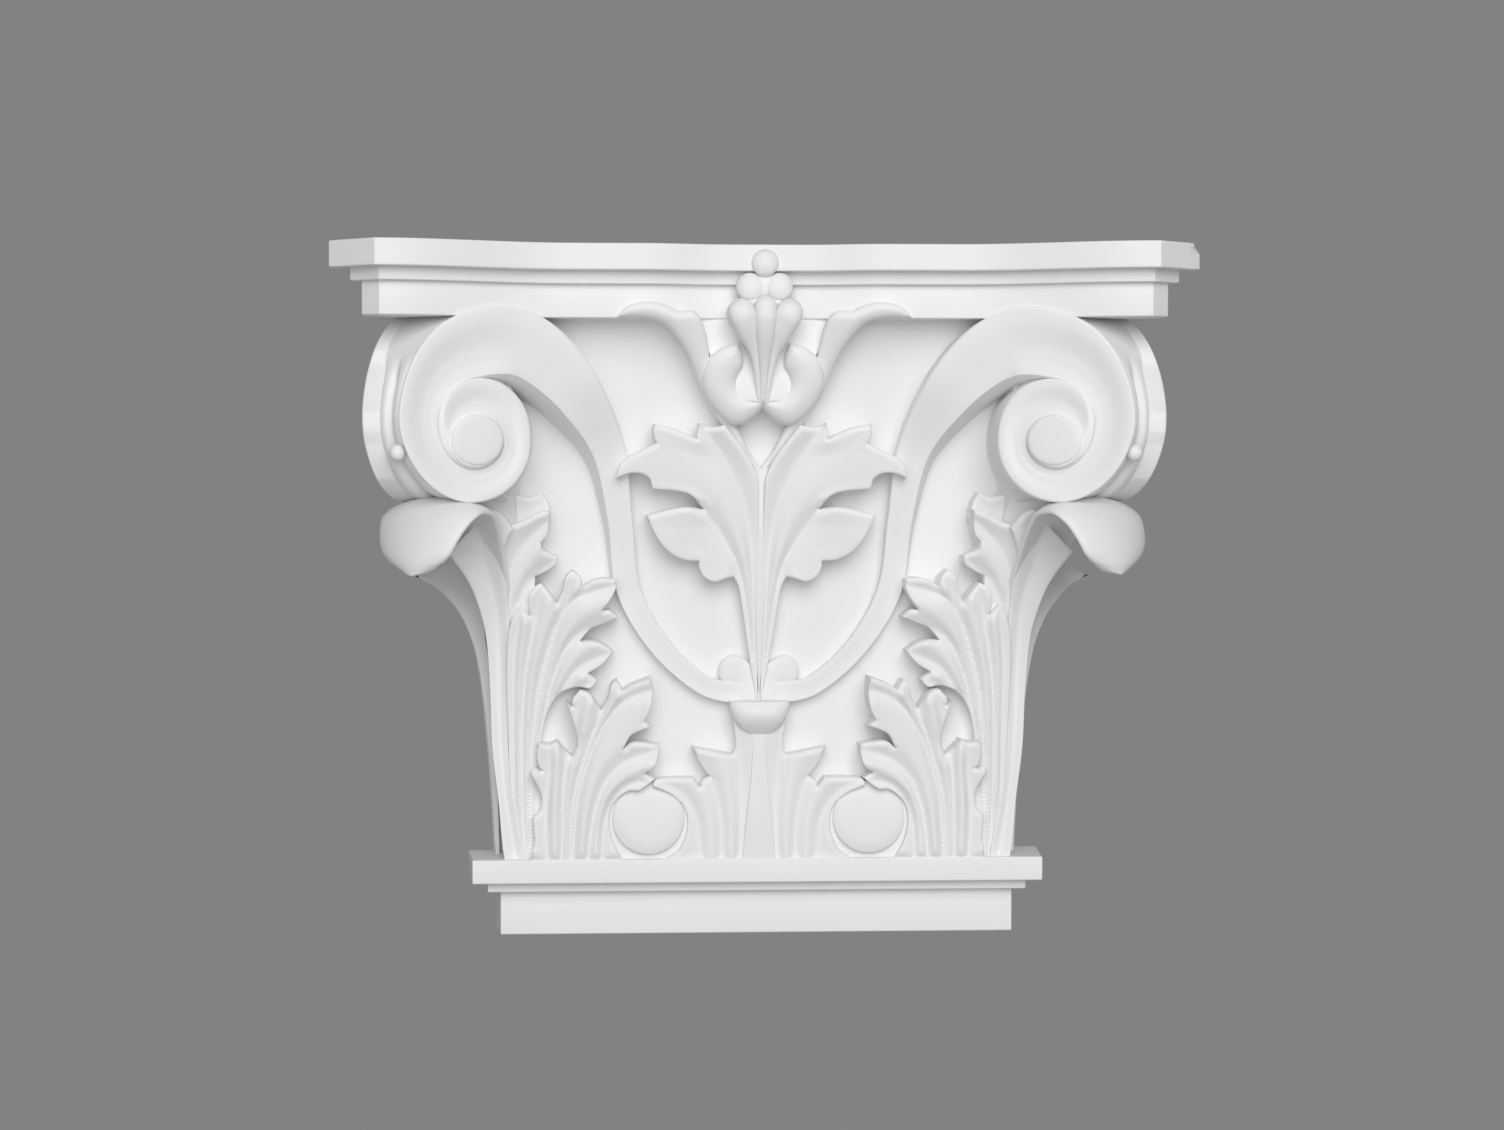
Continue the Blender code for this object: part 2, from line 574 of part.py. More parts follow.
def volute_path():
    """The whole band as sections: (x, z, half width, depth, direction across it)."""
    rise = []
    for across, up, half, depth in smooth(VOLUTE_RISE, RISE_STEPS):
        x, z = field_point(across, up)
        rise.append((x, z, half / 100 * HALF_WIDTH, depth / 100 * TOTAL_DEPTH))
    path = [(*row, side) for row, side in zip(rise, headings(rise))]
    eye_x, eye_z = field_point(*EYE)
    for k in range(SPIRAL_TURN_STEPS * (len(SPIRAL_REACH) - QUARTERS - 1) // QUARTERS + 1):
        quarter = QUARTERS * k / SPIRAL_TURN_STEPS
        outer = spiral_reach(quarter)
        inner = spiral_reach(quarter + QUARTERS) + TURN_GAP
        reach = (outer + inner) / 2
        angle = pi / 2 * (1 + quarter)
        side = Vector((-cos(angle), -sin(angle)))
        x = eye_x - reach * side.x
        path.append((x, eye_z - reach * side.y, (outer - inner) / 2, disc_depth(x), side))
    return path


def volute_band():
    """The band that rises from the calyx and winds into the corner spiral."""
    outer_turn = RISE_STEPS + SPIRAL_TURN_STEPS
    rings = []
    for index, (x, z, half, depth, side) in enumerate(volute_path()):
        ring = []
        for share, rise in ((-1, 0), (0, -0.22 * half), (1, 0)):
            ring.append(place(x + side.x * half * share, depth + rise, z + side.y * half * share))
        for share in (1, -1):
            foot_x = x + side.x * half * share
            foot_z = z + side.y * half * share
            floor = volute_floor(foot_x, foot_z)
            if index > outer_turn:
                floor = disc_depth(foot_x) - 2 * VOLUTE_THICKNESS
            ring.append(place(foot_x, floor, foot_z))
        rings.append(ring)
    return closed_loft('volute_band', rings)


def eye():
    """The button at the middle of the spiral."""
    x, z = field_point(*EYE)
    radius = EYE_RADIUS / 100 * FIELD_HEIGHT
    rings = []
    for share, rise in ((1.0, -EYE_SINK), (1.0, EYE_RIM), (0.6, EYE_CROWN)):
        rings.append([place(x + radius * share * cos(2 * pi * k / ROUND_STEPS),
                            disc_depth(x) + rise,
                            z + radius * share * sin(2 * pi * k / ROUND_STEPS))
                      for k in range(ROUND_STEPS)])
    return closed_loft('eye', rings)


def to_side(x, y, z):
    """Mirror of a point in the upright plane that runs through the left corner."""
    return Vector((y - CORNER_OFFSET, x + CORNER_OFFSET, z))


def corner_block():
    """The solid between the front and the side spiral, with grooves around its rim."""
    eye_x, eye_z = field_point(*EYE)
    rings = []
    for share, groove in zip(RIM_SHARES, RIM_GROOVES):
        ring = []
        for k in range(RIM_STEPS):
            quarter = QUARTERS * k / RIM_STEPS
            angle = pi / 2 * (1 + quarter)
            reach = spiral_reach(quarter) + TURN_GAP
            last = max(quarter - QUARTERS + 1, 0)
            reach += (spiral_reach(0) - spiral_reach(QUARTERS)) * last ** 2 / 2
            if sin(angle) < FLUTED_BELOW:
                reach -= RIM_GROOVE * groove + 2 * TURN_GAP
            x = eye_x + reach * cos(angle)
            z = eye_z + reach * sin(angle)
            front = place(x, disc_depth(x) - VOLUTE_THICKNESS, z)
            ring.append(front.lerp(to_side(*front), share))
        rings.append(ring)
    return closed_loft('corner_block', rings)


def corner_root():
    """The post that ties the corner block back to the bell, up into the abacus."""
    return closed_loft('corner_root', [[place(x, depth, z) for x, depth in ROOT_PLAN]
                                       for z in (ROOT_BOTTOM, FASCIA_BOTTOM + SINK / 3)])


def tongue():
    """The smooth end of the corner leaf, which hangs out over the corner."""
    rings = []
    points = smooth(TONGUE, TONGUE_STEPS)
    slant = 1 / sqrt(2)
    for index, (across, depth, up, half) in enumerate(points):
        x, z = field_point(across, up)
        y = depth / 100 * TOTAL_DEPTH
        half = half / 100 * HALF_WIDTH
        ahead = points[min(index + 1, len(points) - 1)]
        behind = points[max(index - 1, 0)]
        run = ((behind[0] - ahead[0]) / 100 * HALF_WIDTH
               + (ahead[1] - behind[1]) / 100 * TOTAL_DEPTH) * slant
        rise = (ahead[2] - behind[2]) / 100 * FIELD_HEIGHT
        length = sqrt(run * run + rise * rise)
        out_x, out_z = -rise / length, run / length
        ring = []
        for level in (1, -1):
            for share in (-1, -0.6, 0, 0.6, 1):
                share *= level
                lift = TONGUE_THICKNESS / 2 * level * (1 if abs(share) < 1 else 0.3)
                lift -= TONGUE_DROOP * share * share
                ring.append(place(x + slant * (half * share - out_x * lift),
                                  y + slant * (half * share + out_x * lift), z + out_z * lift))
        rings.append(ring)
    return closed_loft('tongue', rings)


def side_leaf():
    """Half a leaf on the side face, its tip curled outward."""
    rings = []
    for out, up, half in smooth(SIDE_LEAF, BLADE_STEPS):
        z = LEDGE_TOP + up / 100 * FIELD_HEIGHT
        wide = half / 100 * HALF_WIDTH
        face = bell_half_width(z)
        rings.append([place(-face + SINK, -BACK_MARGIN, z), place(-face - out, -BACK_MARGIN, z),
                      place(-face - out, wide * 0.3, z), place(-face - out, wide, z),
                      place(-face + SINK, wide, z)])
    return closed_loft('side_leaf', rings)


def carved_pieces():
    """The carving that has a twin on the right, each form a closed body over the bell."""
    pieces = [leaf('tall_leaf', TALL_LEAF), leaf('low_leaf', LOW_LEAF),
              leaf('middle_leaf', MIDDLE_LEAF), leaf('centre_leaf', CENTRE_LEAF),
              leaf('corner_lobes', CORNER_LOBES), leaf('back_lobe', BACK_LOBE),
              leaf('stalk', STALK)]
    pieces.append(blade('tendril', TENDRIL, -0.15, 10))
    pieces.append(blade('petal', PETAL, -0.6, 7, 1.0))
    pieces.append(blade('side_drop', SIDE_DROP, -0.8, 4, 1.0))
    pieces.append(ball('side_berry', SIDE_BERRY))
    pieces.append(dome('round_disc', ROUND_DISC, DISC_RISE, BOSS_SINK, flat=0.6))
    pieces.append(dome('small_curl', SMALL_CURL, CURL_RISE, BOSS_SINK, flat=0.6))
    front_band = volute_band()
    front_eye = eye()
    pieces += [front_band, front_eye]
    for source in (front_band, front_eye):
        copy = bpy.data.objects.new('side_' + source.name, source.data.copy())
        for vertex in copy.data.vertices:
            vertex.co = to_side(*vertex.co)
        copy.data.flip_normals()
        pieces.append(copy)
    pieces += [corner_block(), corner_root(), tongue(), side_leaf()]
    for piece in pieces:
        mirror = piece.modifiers.new('right_half', 'MIRROR')
        mirror.use_axis = (True, False, False)
        mirror.use_mirror_merge = False
    return pieces


def middle_pieces():
    """The carving on the middle line."""
    return [blade('stem', STEM, -0.5, 2), blade('spear', SPEAR, -0.3, 3),
            blade('middle_drop', MIDDLE_DROP, -0.8, 4, 1.0), ball('top_berry', TOP_BERRY),
            dome('calyx', CALYX, CALYX_RISE, BOSS_SINK, squash=CALYX_SQUASH)]


def box(name, low, high):
    """A plain block between two corners."""
    rings = [[Vector((low[0], low[1], z)), Vector((high[0], low[1], z)),
              Vector((high[0], high[1], z)), Vector((low[0], high[1], z))]
             for z in (low[2], high[2])]
    return closed_loft(name, rings)


def corner_chip():
    """The chip missing from the top right corner of the abacus."""
    rings = []
    for depth in (CHIP_START, TOTAL_DEPTH + BACK_MARGIN):
        rings.append([place(HALF_WIDTH - CHIP_WIDTH, depth, TOTAL_HEIGHT),
                      place(HALF_WIDTH, depth, TOTAL_HEIGHT - CHIP_HEIGHT),
                      place(HALF_WIDTH + CHIP_WIDTH, depth, TOTAL_HEIGHT + CHIP_HEIGHT)])
    return closed_loft('chip', rings)


def core_pieces():
    """Foot, bell and abacus, for the carving to stand on."""
    neck = NECK_WIDTH / 2
    foot_fillet_bottom = NECK_HEIGHT
    ledge_bottom = foot_fillet_bottom + FOOT_FILLET_HEIGHT
    fillet_bottom = FASCIA_BOTTOM + FASCIA_HEIGHT
    top_bottom = fillet_bottom + FILLET_TIER_HEIGHT
    overlap = SINK / 3
    return [
        foot_block('foot_fillet', neck + FOOT_FILLET_STEP, NECK_DEPTH + FOOT_FILLET_STEP,
                   foot_fillet_bottom, ledge_bottom + overlap),
        foot_block('ledge', LEDGE_WIDTH / 2, LEDGE_DEPTH, ledge_bottom, LEDGE_TOP),
        bell(),
        tier('fascia', FASCIA_BOTTOM, fillet_bottom + overlap, FASCIA_SETBACK, FASCIA_SIDE_SETBACK),
        tier('fillet', fillet_bottom, top_bottom + overlap, FILLET_SETBACK, FILLET_SIDE_SETBACK),
        tier('top_tier', top_bottom, TOTAL_HEIGHT, 0, 0),
    ]


def moulded_white():
    """Matte white paint on rigid foam."""
    material = bpy.data.materials.new('moulded_white')
    material.use_nodes = True
    shader = material.node_tree.nodes['Principled BSDF']
    shader.inputs['Base Color'].default_value = (0.80, 0.80, 0.79, 1.0)
    shader.inputs['Roughness'].default_value = 0.55
    shader.inputs['Metallic'].default_value = 0.0
    return material


def hide_guide(guide):
    """Mark an object as a tool of the modelling, not a piece of the capital."""
    guide.hide_render = True
    guide.display_type = 'WIRE'


def main():
    """Clear the scene and build the capital."""
    for item in list(bpy.data.objects):
        bpy.data.objects.remove(item, do_unlink=True)
    scene = bpy.context.scene
    guides = bpy.data.collections.new('guides')
    scene.collection.children.link(guides)
    for piece in core_pieces() + carved_pieces() + middle_pieces():
        guides.objects.link(piece)
        hide_guide(piece)

    capital = foot_block('capital', NECK_WIDTH / 2, NECK_DEPTH, 0, NECK_HEIGHT + SINK / 3)
    scene.collection.objects.link(capital)
    capital.data.materials.append(moulded_white())

    union = capital.modifiers.new('carving', 'BOOLEAN')
    union.operation = 'UNION'
    union.operand_type = 'COLLECTION'
    union.collection = guides
    union.solver = 'EXACT'

    reach = ABACUS_WIDTH
    wall = box('wall', (-reach, 0, -reach), (reach, reach, reach))
    scene.collection.objects.link(wall)
    hide_guide(wall)
    cut = capital.modifiers.new('flat_back', 'BOOLEAN')
    cut.operation = 'DIFFERENCE'
    cut.object = wall
    cut.solver = 'EXACT'

    thin = capital.modifiers.new('fewer_facets', 'DECIMATE')
    thin.decimate_type = 'COLLAPSE'
    thin.ratio = KEPT_FACETS

    chip = corner_chip()
    scene.collection.objects.link(chip)
    hide_guide(chip)
    break_off = capital.modifiers.new('chipped_corner', 'BOOLEAN')
    break_off.operation = 'DIFFERENCE'
    break_off.object = chip
    break_off.solver = 'EXACT'


if __name__ == '__main__':
    main()
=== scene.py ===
"""Dresses the pilaster capital: fine carving in place of the CAD solid, white paint,
a soft studio and the camera of the photograph.

Metres, +Z up, in the part's frame: the wall is y = 0 and the front looks along -Y.
The left half of the carving is worked out and mirrored.
"""

import bpy
import numpy as np
from bpy.props import FloatProperty, FloatVectorProperty, PointerProperty
from mathutils import Matrix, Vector
from mathutils.geometry import delaunay_2d_cdt


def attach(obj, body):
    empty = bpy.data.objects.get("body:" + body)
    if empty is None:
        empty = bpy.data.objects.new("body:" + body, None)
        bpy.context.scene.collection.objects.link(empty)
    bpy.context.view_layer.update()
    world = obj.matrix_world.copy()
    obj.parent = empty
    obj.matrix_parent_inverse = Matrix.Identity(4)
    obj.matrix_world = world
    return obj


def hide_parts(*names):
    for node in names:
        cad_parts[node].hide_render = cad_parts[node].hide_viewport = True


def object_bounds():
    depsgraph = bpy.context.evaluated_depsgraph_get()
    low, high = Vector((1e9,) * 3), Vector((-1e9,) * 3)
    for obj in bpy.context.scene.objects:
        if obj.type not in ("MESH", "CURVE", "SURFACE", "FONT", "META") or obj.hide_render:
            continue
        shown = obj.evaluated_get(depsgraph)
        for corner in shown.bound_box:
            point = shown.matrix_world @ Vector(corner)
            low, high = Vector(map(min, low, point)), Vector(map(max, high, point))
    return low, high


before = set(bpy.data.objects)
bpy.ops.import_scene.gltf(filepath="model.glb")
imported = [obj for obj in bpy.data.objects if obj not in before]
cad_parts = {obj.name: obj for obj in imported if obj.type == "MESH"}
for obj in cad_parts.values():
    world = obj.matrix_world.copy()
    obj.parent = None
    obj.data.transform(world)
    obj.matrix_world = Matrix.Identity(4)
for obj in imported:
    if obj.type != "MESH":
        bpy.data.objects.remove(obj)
CAD_LOW, CAD_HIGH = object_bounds()

bl_info = {
    "name": "Pilaster capital",
    "version": (1, 0, 0),
    "blender": (4, 5, 0),
    "location": "3D View > Sidebar > Capital",
    "description": "Fine carving, paint and studio for the Corinthian pilaster capital",
    "category": "Object",
}

# The carving follows the CAD box, so it grows with it
HALF_WIDTH = CAD_HIGH.x
TOTAL_HEIGHT = CAD_HIGH.z - CAD_LOW.z
TOTAL_DEPTH = -CAD_LOW.y
BASE = CAD_LOW.z
MM = 0.001

# How far from the wall the carving ends, and how far apart overlapping shells end
OTHER_WALL = 0.0003
WALL_STEP = 0.00002

# Edges sharper than this many degrees stay sharp
SHARP_ANGLE = 38

# Heights of the tiers, from the underside
NECK_TOP = 0.0160
FILLET_TOP = 0.0197
LEDGE_TOP = 0.0283
FASCIA_BOTTOM = 0.2220
FASCIA_TOP = 0.2337
TOP_TIER_BOTTOM = 0.2383
FIELD_HEIGHT = FASCIA_BOTTOM - LEDGE_TOP

# Abacus plan: setbacks of the tiers from the top one, canted corners, hollow front
FILLET_SETBACK = 0.0060
FILLET_SIDE_SETBACK = 0.0072
FASCIA_SETBACK = 0.0090
FASCIA_SIDE_SETBACK = 0.0112
CANT_WIDTH = 0.0164
CANT_STEP = 0.0010
HOLLOW = 0.0241
EAR_LENGTH = 0.0176
SWEEP_LENGTH = 0.0650
MIDDLE_RECESS = 0.0064
RECESS_REACH = (0.0140, 0.0420)
SIDE_HOLLOW = 0.0120
SIDE_SWEEP = 0.8

# Foot plan, drafted towards the wall
NECK_HALF = 0.0933
NECK_DEPTH = 0.0225
FILLET_STEP = 0.0045
LEDGE_HALF = 0.1032
LEDGE_DEPTH = 0.0324
FOOT_DRAFT = 0.0024

# Bell
BELL_HALF = 0.0920
BELL_DEPTH = 0.0250
BELL_FLARE = 0.0260
BELL_SIDE_FLARE = 0.0180
FLARE_POWER = 2.2
BELL_CORNER = 0.0080

# Volutes
VOLUTE_SLOPE = 0.53
CORNER_OFFSET = 0.0450
VOLUTE_EYE_DEPTH = 0.0805
VOLUTE_WALL = 0.0400
EYE = (-66.4, 78.0)
KNOB_RADIUS = 0.0088
KNOB_PROFILE = ((1, -0.01), (1, 0.0008), (0.985, 0.0015), (0.95, 0.0019), (0.90, 0.0021),
                (0.75, 0.0023), (0.5, 0.0024), (0.25, 0.00245), (0.03, 0.00245))
SINK = 0.0030
PLAN_HUB = 0.0150
FACE_CLEARANCE = 0.0040
INNER_WALL = 0.0075
SIDE_FLOOR = 0.0450
BLOCK_INSET = 0.0052
BEAD_QUARTER = 1.12
BEAD_INSET = 0.0012
BEAD_RADIUS = 0.0029
BEAD_SHARE = 0.3

# The post behind a corner block: its plan, and the plan's share at heights in hundredths
ROOT_PLAN = ((-0.0850, 0.0300), (-0.0865, 0.0450), (-0.0885, 0.0600), (-0.1060, 0.0730),
             (-0.1145, 0.0695), (-0.1180, 0.0610), (-0.1110, 0.0410))
ROOT_STEPS = ((56, 0.02), (63, 0.50), (69, 0.95), (73, 1.0))

# Relief of the leaves and drops
GUTTER_ROOM = 0.0060
VEIN_BLUR = 0.0015
FOLD_START = 0.15
FOLD_SPAN = 0.60
FOOT_CLEARANCE = 0.0003
FOOT_SLOPE = 0.60
BLADE_STEP = 0.0008
BLADE_DRAFT = 1.06
BED_SQUASH = 0.6

# Carved forms, in hundredths: across is of the half width, up is of the carved field
# above the ledge, a lift is of the total depth above the bell.
TALL_LEAF = {
    'outline': (
        ((-57.2, -1), (-59.6, 11.2), (-60.2, 22.5), (-60.4, 37.5), (-59.4, 44.5), (-57, 47.7)),
        ((-54.9, 45.8),), ((-55.1, 49), (-53.9, 51), (-52.2, 51.8)),
        ((-50.3, 50.1), (-48.4, 48.2)), ((-47.2, 50.5), (-46.3, 53.1), (-44.6, 54.2)),
        ((-43, 52.9), (-42.3, 51.2)), ((-40.1, 52.3), (-37.5, 52.7), (-34.4, 52.5)),
        ((-34.4, 51), (-35.6, 49), (-37.7, 46.7)), ((-35.8, 46.7), (-33.9, 45.4)),
        ((-37.3, 44.3), (-40.6, 43.2), (-43, 41)), ((-40.1, 41.1), (-37.3, 40.4), (-35.1, 39.1)),
        ((-37.5, 36.8), (-41.1, 35)), ((-38.7, 33.7),),
        ((-40.6, 32.2), (-43.7, 32.4), (-47.3, 31.4), (-50.2, 28.6), (-51.9, 24.3), (-52.6, 19.3)),
        ((-51.9, 11.2), (-50.7, -1))),
    'veins': (
        ((-58.4, 0), (-58.8, 18.7), (-58.7, 31.9), (-58.5, 39.3), (-57.2, 46.4)),
        ((-56.5, 0), (-56.9, 18.7), (-56.4, 31.8), (-54.7, 41.2), (-52.2, 51)),
        ((-55.1, 0), (-54.8, 18.7), (-52.5, 31.8), (-49.4, 41.2), (-46.3, 48.6), (-44.6, 53.6)),
        ((-54.6, 0), (-54.5, 15), (-53.5, 30), (-50.8, 39.3), (-47.7, 45.3), (-43.4, 49.2),
         (-34.9, 51.4)),
        ((-53.6, 0), (-53.3, 13.1), (-51.9, 26.2), (-48.7, 35.6), (-44.2, 41.7), (-34.6, 45.4)),
        ((-52.7, 0), (-52.4, 11.2), (-50.7, 23.4), (-47.8, 30.5), (-43.5, 35.9), (-35.6, 38.9)),
        ((-51.9, 0), (-51.9, 11.2), (-51.2, 21.5), (-48.5, 28.4), (-44.2, 31.4), (-39.2, 33.5))),
    'lift': (3, 14), 'power': 1.5, 'gutter': 0.0024, 'foot': 0.0018,
}
LOW_LEAF = {
    'outline': (
        ((-52.7, -1), (-53.9, 4), (-54.3, 8.2)),
        ((-52.9, 9.2), (-52.2, 10.8), (-52.6, 13), (-54.9, 16.4)),
        ((-54.1, 17.4), (-52.4, 16.8)), ((-53.3, 19.2), (-53, 22.2)),
        ((-50.7, 21.8), (-48.5, 22.4)), ((-47.1, 21.1), (-44.9, 19.4)),
        ((-43.7, 22.2), (-44.7, 25.9), (-46.3, 29.7)), ((-44.9, 28.9),),
        ((-44.7, 30.4), (-43, 31.9)), ((-40.6, 31.2), (-38, 28.2)),
        ((-36.3, 30.6), (-35.6, 33), (-34.2, 33.8)), ((-32.8, 31.9),),
        ((-30.6, 33), (-26.1, 34.3)), ((-25.8, 30.9), (-26.5, 28.1), (-27.7, 26.3)),
        ((-26, 25.1),), ((-28.7, 24.4), (-31.1, 23.3), (-32.7, 20.8)),
        ((-30.6, 22.1), (-27.5, 22.1), (-24.1, 21.6)),
        ((-24.4, 19.3), (-25.5, 17.2), (-27.5, 16.3)), ((-25.1, 15.2),),
        ((-28.7, 13.1), (-31.5, 12.9), (-34.9, 10.7), (-36.1, 7.5), (-35.1, 3.2), (-32, -1))),
    'veins': (
        ((-50.7, 0), (-51.2, 9.5), (-50.4, 16), (-50.4, 21.7)),
        ((-47.4, 0), (-47.1, 11.3), (-45.9, 20.7), (-44, 27.3), (-42.5, 31.4)),
        ((-45.5, 0), (-44.7, 11.3), (-41.1, 21.6), (-37.3, 29.1), (-34.4, 33.2)),
        ((-44.7, 0), (-43.5, 11.3), (-40.6, 19.7), (-36.8, 25.9), (-32.3, 30), (-26.8, 31.9)),
        ((-41.1, 0), (-39.7, 8.5), (-36.8, 14.7), (-32.3, 18.4), (-24.8, 20.8)),
        ((-37.8, 0), (-37.3, 6.6), (-34.9, 11.3), (-31.1, 14.1), (-25.5, 15))),
    'lift': (6.4, 14), 'power': 1.4, 'gutter': 0.0024,
}
MIDDLE_LEAF = {
    'outline': (
        ((-21.9, -1), (-19, 2), (-17.3, 5.3), (-17.3, 8.2), (-18.5, 10.4)),
        ((-21.4, 12.3), (-25.5, 13.8)), ((-24.8, 15), (-20.2, 15.3), (-15.8, 15.3)),
        ((-14.2, 13.6),), ((-13.7, 14.7), (-12, 15.5)), ((-14.2, 18.1), (-16.1, 21.1)),
        ((-11.8, 20.4), (-6.5, 19.6)), ((-5.7, 21.3), (-6.3, 26), (-7, 29.4)), ((-0.3, 29.4),),
        ((-0.3, -1),)),
    'veins': (
        ((-14.1, 0), (-14.6, 6.3), (-16.6, 10.4), (-20.2, 13.3), (-24.5, 14.4)),
        ((-8.8, 0), (-9.1, 7.2), (-10.8, 13.8), (-13.4, 17.6), (-15.6, 20.4)),
        ((-4.5, 0), (-4.2, 9), (-4.5, 16.6), (-5.1, 27.9))),
    'lift': (5, 8.5), 'power': 0.7, 'gutter': 0.0018,
}
CENTRE_LEAF = {
    'outline': (
        ((-0.9, 31), (-2.3, 37.3), (-3.8, 44.8), (-5, 50.4), (-6.3, 52.8)),
        ((-8.7, 52.4), (-11, 51.9), (-13.4, 52.8), (-14.6, 54.5), (-14.7, 55.8)),
        ((-18.2, 56), (-21.6, 57.3), (-24.7, 60.1), (-27.3, 64.3)),
        ((-22.8, 65.2), (-18.1, 65.8), (-13.8, 65.4)),
        ((-16.4, 67.8), (-19.8, 68.7), (-25.9, 69.1)), ((-26.4, 70.9),),
        ((-28.3, 71.9), (-31.1, 72), (-34.4, 71.1)),
        ((-33.7, 73.3), (-32.1, 74.8), (-28.8, 76.1), (-25, 77.5)), ((-25.8, 79.3), (-25.6, 81)),
        ((-21.8, 80.4), (-18, 79.3), (-15.6, 78.4)), ((-15, 81.2),), ((-12.4, 80.4), (-8.9, 80.8)),
        ((-4, 76), (-1.2, 71.7), (-0.7, 67.1), (-0.5, 56), (-0.4, 41), (-0.3, 29.4))),
    'veins': (
        ((-1.6, 37.3), (-3.1, 47), (-5.2, 54.5), (-9, 60.5), (-13.6, 65.2)),
        ((-0.5, 29.7), (-1.4, 48.5), (-3.1, 63.4), (-7, 72.6), (-13.5, 79.9))),
    'lift': (5.5, 11), 'power': 1.0, 'gutter': 0.0024,
}
CORNER_LOBES = {
    'outline': (
        ((-62.1, 30.1), (-62.9, 41.3), (-63.2, 50.6), (-62.4, 57), (-60.2, 62.2)),
        ((-55.9, 63.5), (-52.8, 64.8), (-50, 65.3)), ((-50.3, 62.6), (-50.7, 60.7), (-52.2, 59.4)),
        ((-51.7, 58), (-48.4, 56.8)), ((-48.6, 55.4), (-50.3, 54.3), (-53.6, 53)),
        ((-53.8, 49.5), (-54.4, 45), (-56.6, 38.5), (-60.2, 30.1))),
    'veins': (
        ((-61.4, 30.1), (-61.5, 41.3), (-60.5, 50.6), (-57.4, 58), (-51, 63.1)),
        ((-60.6, 30.1), (-59.9, 41.3), (-56.2, 50.6), (-49.1, 56.1))),
    'lift': (4, 16), 'power': 1.4, 'gutter': 0.0024,
}
BACK_LOBE = {
    'outline': (
        ((-62.8, 54), (-62.6, 62), (-61, 66.8), (-57.6, 68)), ((-54.5, 67.7), (-51.7, 68.4)),
        ((-50.3, 66.2), (-49.8, 63.4)), ((-52.4, 58.7), (-56, 53.1))),
    'veins': (
        ((-58.4, 54.1), (-56.2, 61.6), (-51.7, 67.6)),),
    'lift': (7, 10), 'power': 1.0, 'gutter': 0.0018,
}
STALK = {
    'outline': (
        ((-60.8, -1), (-62.7, 11.2), (-64.1, 20.7), (-64.5, 30.1), (-65.1, 39.4), (-66.2, 45),
         (-69, 51.5), (-74.1, 57.6)), ((-68.9, 61.5), (-64.8, 65.1), (-61.8, 65), (-58.7, 62)),
        ((-60.9, 57), (-60, 48.7), (-59.6, 41.3), (-60.2, 30), (-60, 18.8), (-58.6, 11.2),
         (-56, -1))),
    'veins': (
        ((-58.4, 0), (-60.8, 11.2), (-61.9, 20.6), (-62.3, 30), (-62.5, 39.4), (-63.3, 48.7),
         (-66.5, 59.8)),),
    'lift': (3.5, 22), 'power': 4.0, 'gutter': 0.003, 'foot': 0.0018,
}
# Plates with a pillowed face: the bed of the disc, the curl, tendril, panel and petal
DISC_BED = {
    'outline': (
        ((-38, -1), (-37.6, 5), (-36, 10), (-32, 14)), ((-20, 14), (-15.5, 8), (-13, -1)),
        ((-38, -1),)),
    'veins': (), 'lift': (4.6, 6.6), 'power': 1.0, 'gutter': 0.0002, 'pillow': 0.0020,
}
CURL = {
    'outline': (
        ((-2.4, 36.6), (-4.4, 37.7), (-6.6, 38), (-8.8, 37), (-9.7, 35.1), (-9, 33.3),
         (-7.2, 32.5), (-5.4, 33.1)),
        ((-5.2, 31.5), (-4.6, 29)), ((0.2, 29),), ((0.2, 37),), ((-2.4, 36.6),)),
    'veins': (), 'lift': (5, 5), 'power': 1.0, 'gutter': 0.0012, 'pillow': 0.0034,
}
TENDRIL = {
    'outline': (
        ((0, 70.8), (-5.1, 75.9), (-9.5, 81), (-13.4, 85.3), (-16.3, 90.9), (-18.5, 94.6),
         (-22.1, 98.2), (-25.1, 99.7), (-29.3, 100.2), (-34.4, 100.1)),
        ((-32.1, 102), (-27.5, 102.9), (-23.5, 102.4), (-20, 101.2)),
        ((-17.3, 101.4), (-15.2, 100.3), (-13.7, 97.5), (-12.9, 94.4)),
        ((-11.4, 87.5), (-8.1, 83.5), (-5.5, 80), (-2.6, 75.8), (0, 73)), ((0, 70.8),)),
    'veins': (), 'lift': (6, 20), 'power': 1.1, 'gutter': 0.0026, 'pillow': 0.0042,
}
PANEL = {
    'outline': (((-9.5, 86),), ((0, 84.8),), ((9.5, 86),), ((15.5, 101),), ((-15.5, 101),)),
    'veins': (), 'lift': (15.5, 7.4), 'power': 1.0, 'gutter': 0.0002, 'pillow': 0.0020,
}
PETAL = {
    'outline': (
        ((-6.1, 95.6), (-10, 94.7), (-13.2, 92.5), (-14.4, 89.5), (-13.8, 86.6), (-11.2, 83.4),
         (-7.6, 81), (-4.8, 80.9), (-2, 82.2), (0.3, 84.2)),
        ((0.3, 85.8), (-2, 85.6), (-4.9, 86.6), (-6.2, 88), (-6, 89.6), (-4.8, 91.3)),
        ((-5, 93.6), (-6.1, 95.6))),
    'veins': (), 'lift': (16, 18), 'power': 1.0, 'gutter': 0.0046, 'pillow': 0.0062,
}
LEAVES = (STALK, TALL_LEAF, LOW_LEAF, MIDDLE_LEAF, CENTRE_LEAF, CORNER_LOBES, BACK_LOBE)
PLATES = (DISC_BED, CURL, TENDRIL, PETAL)

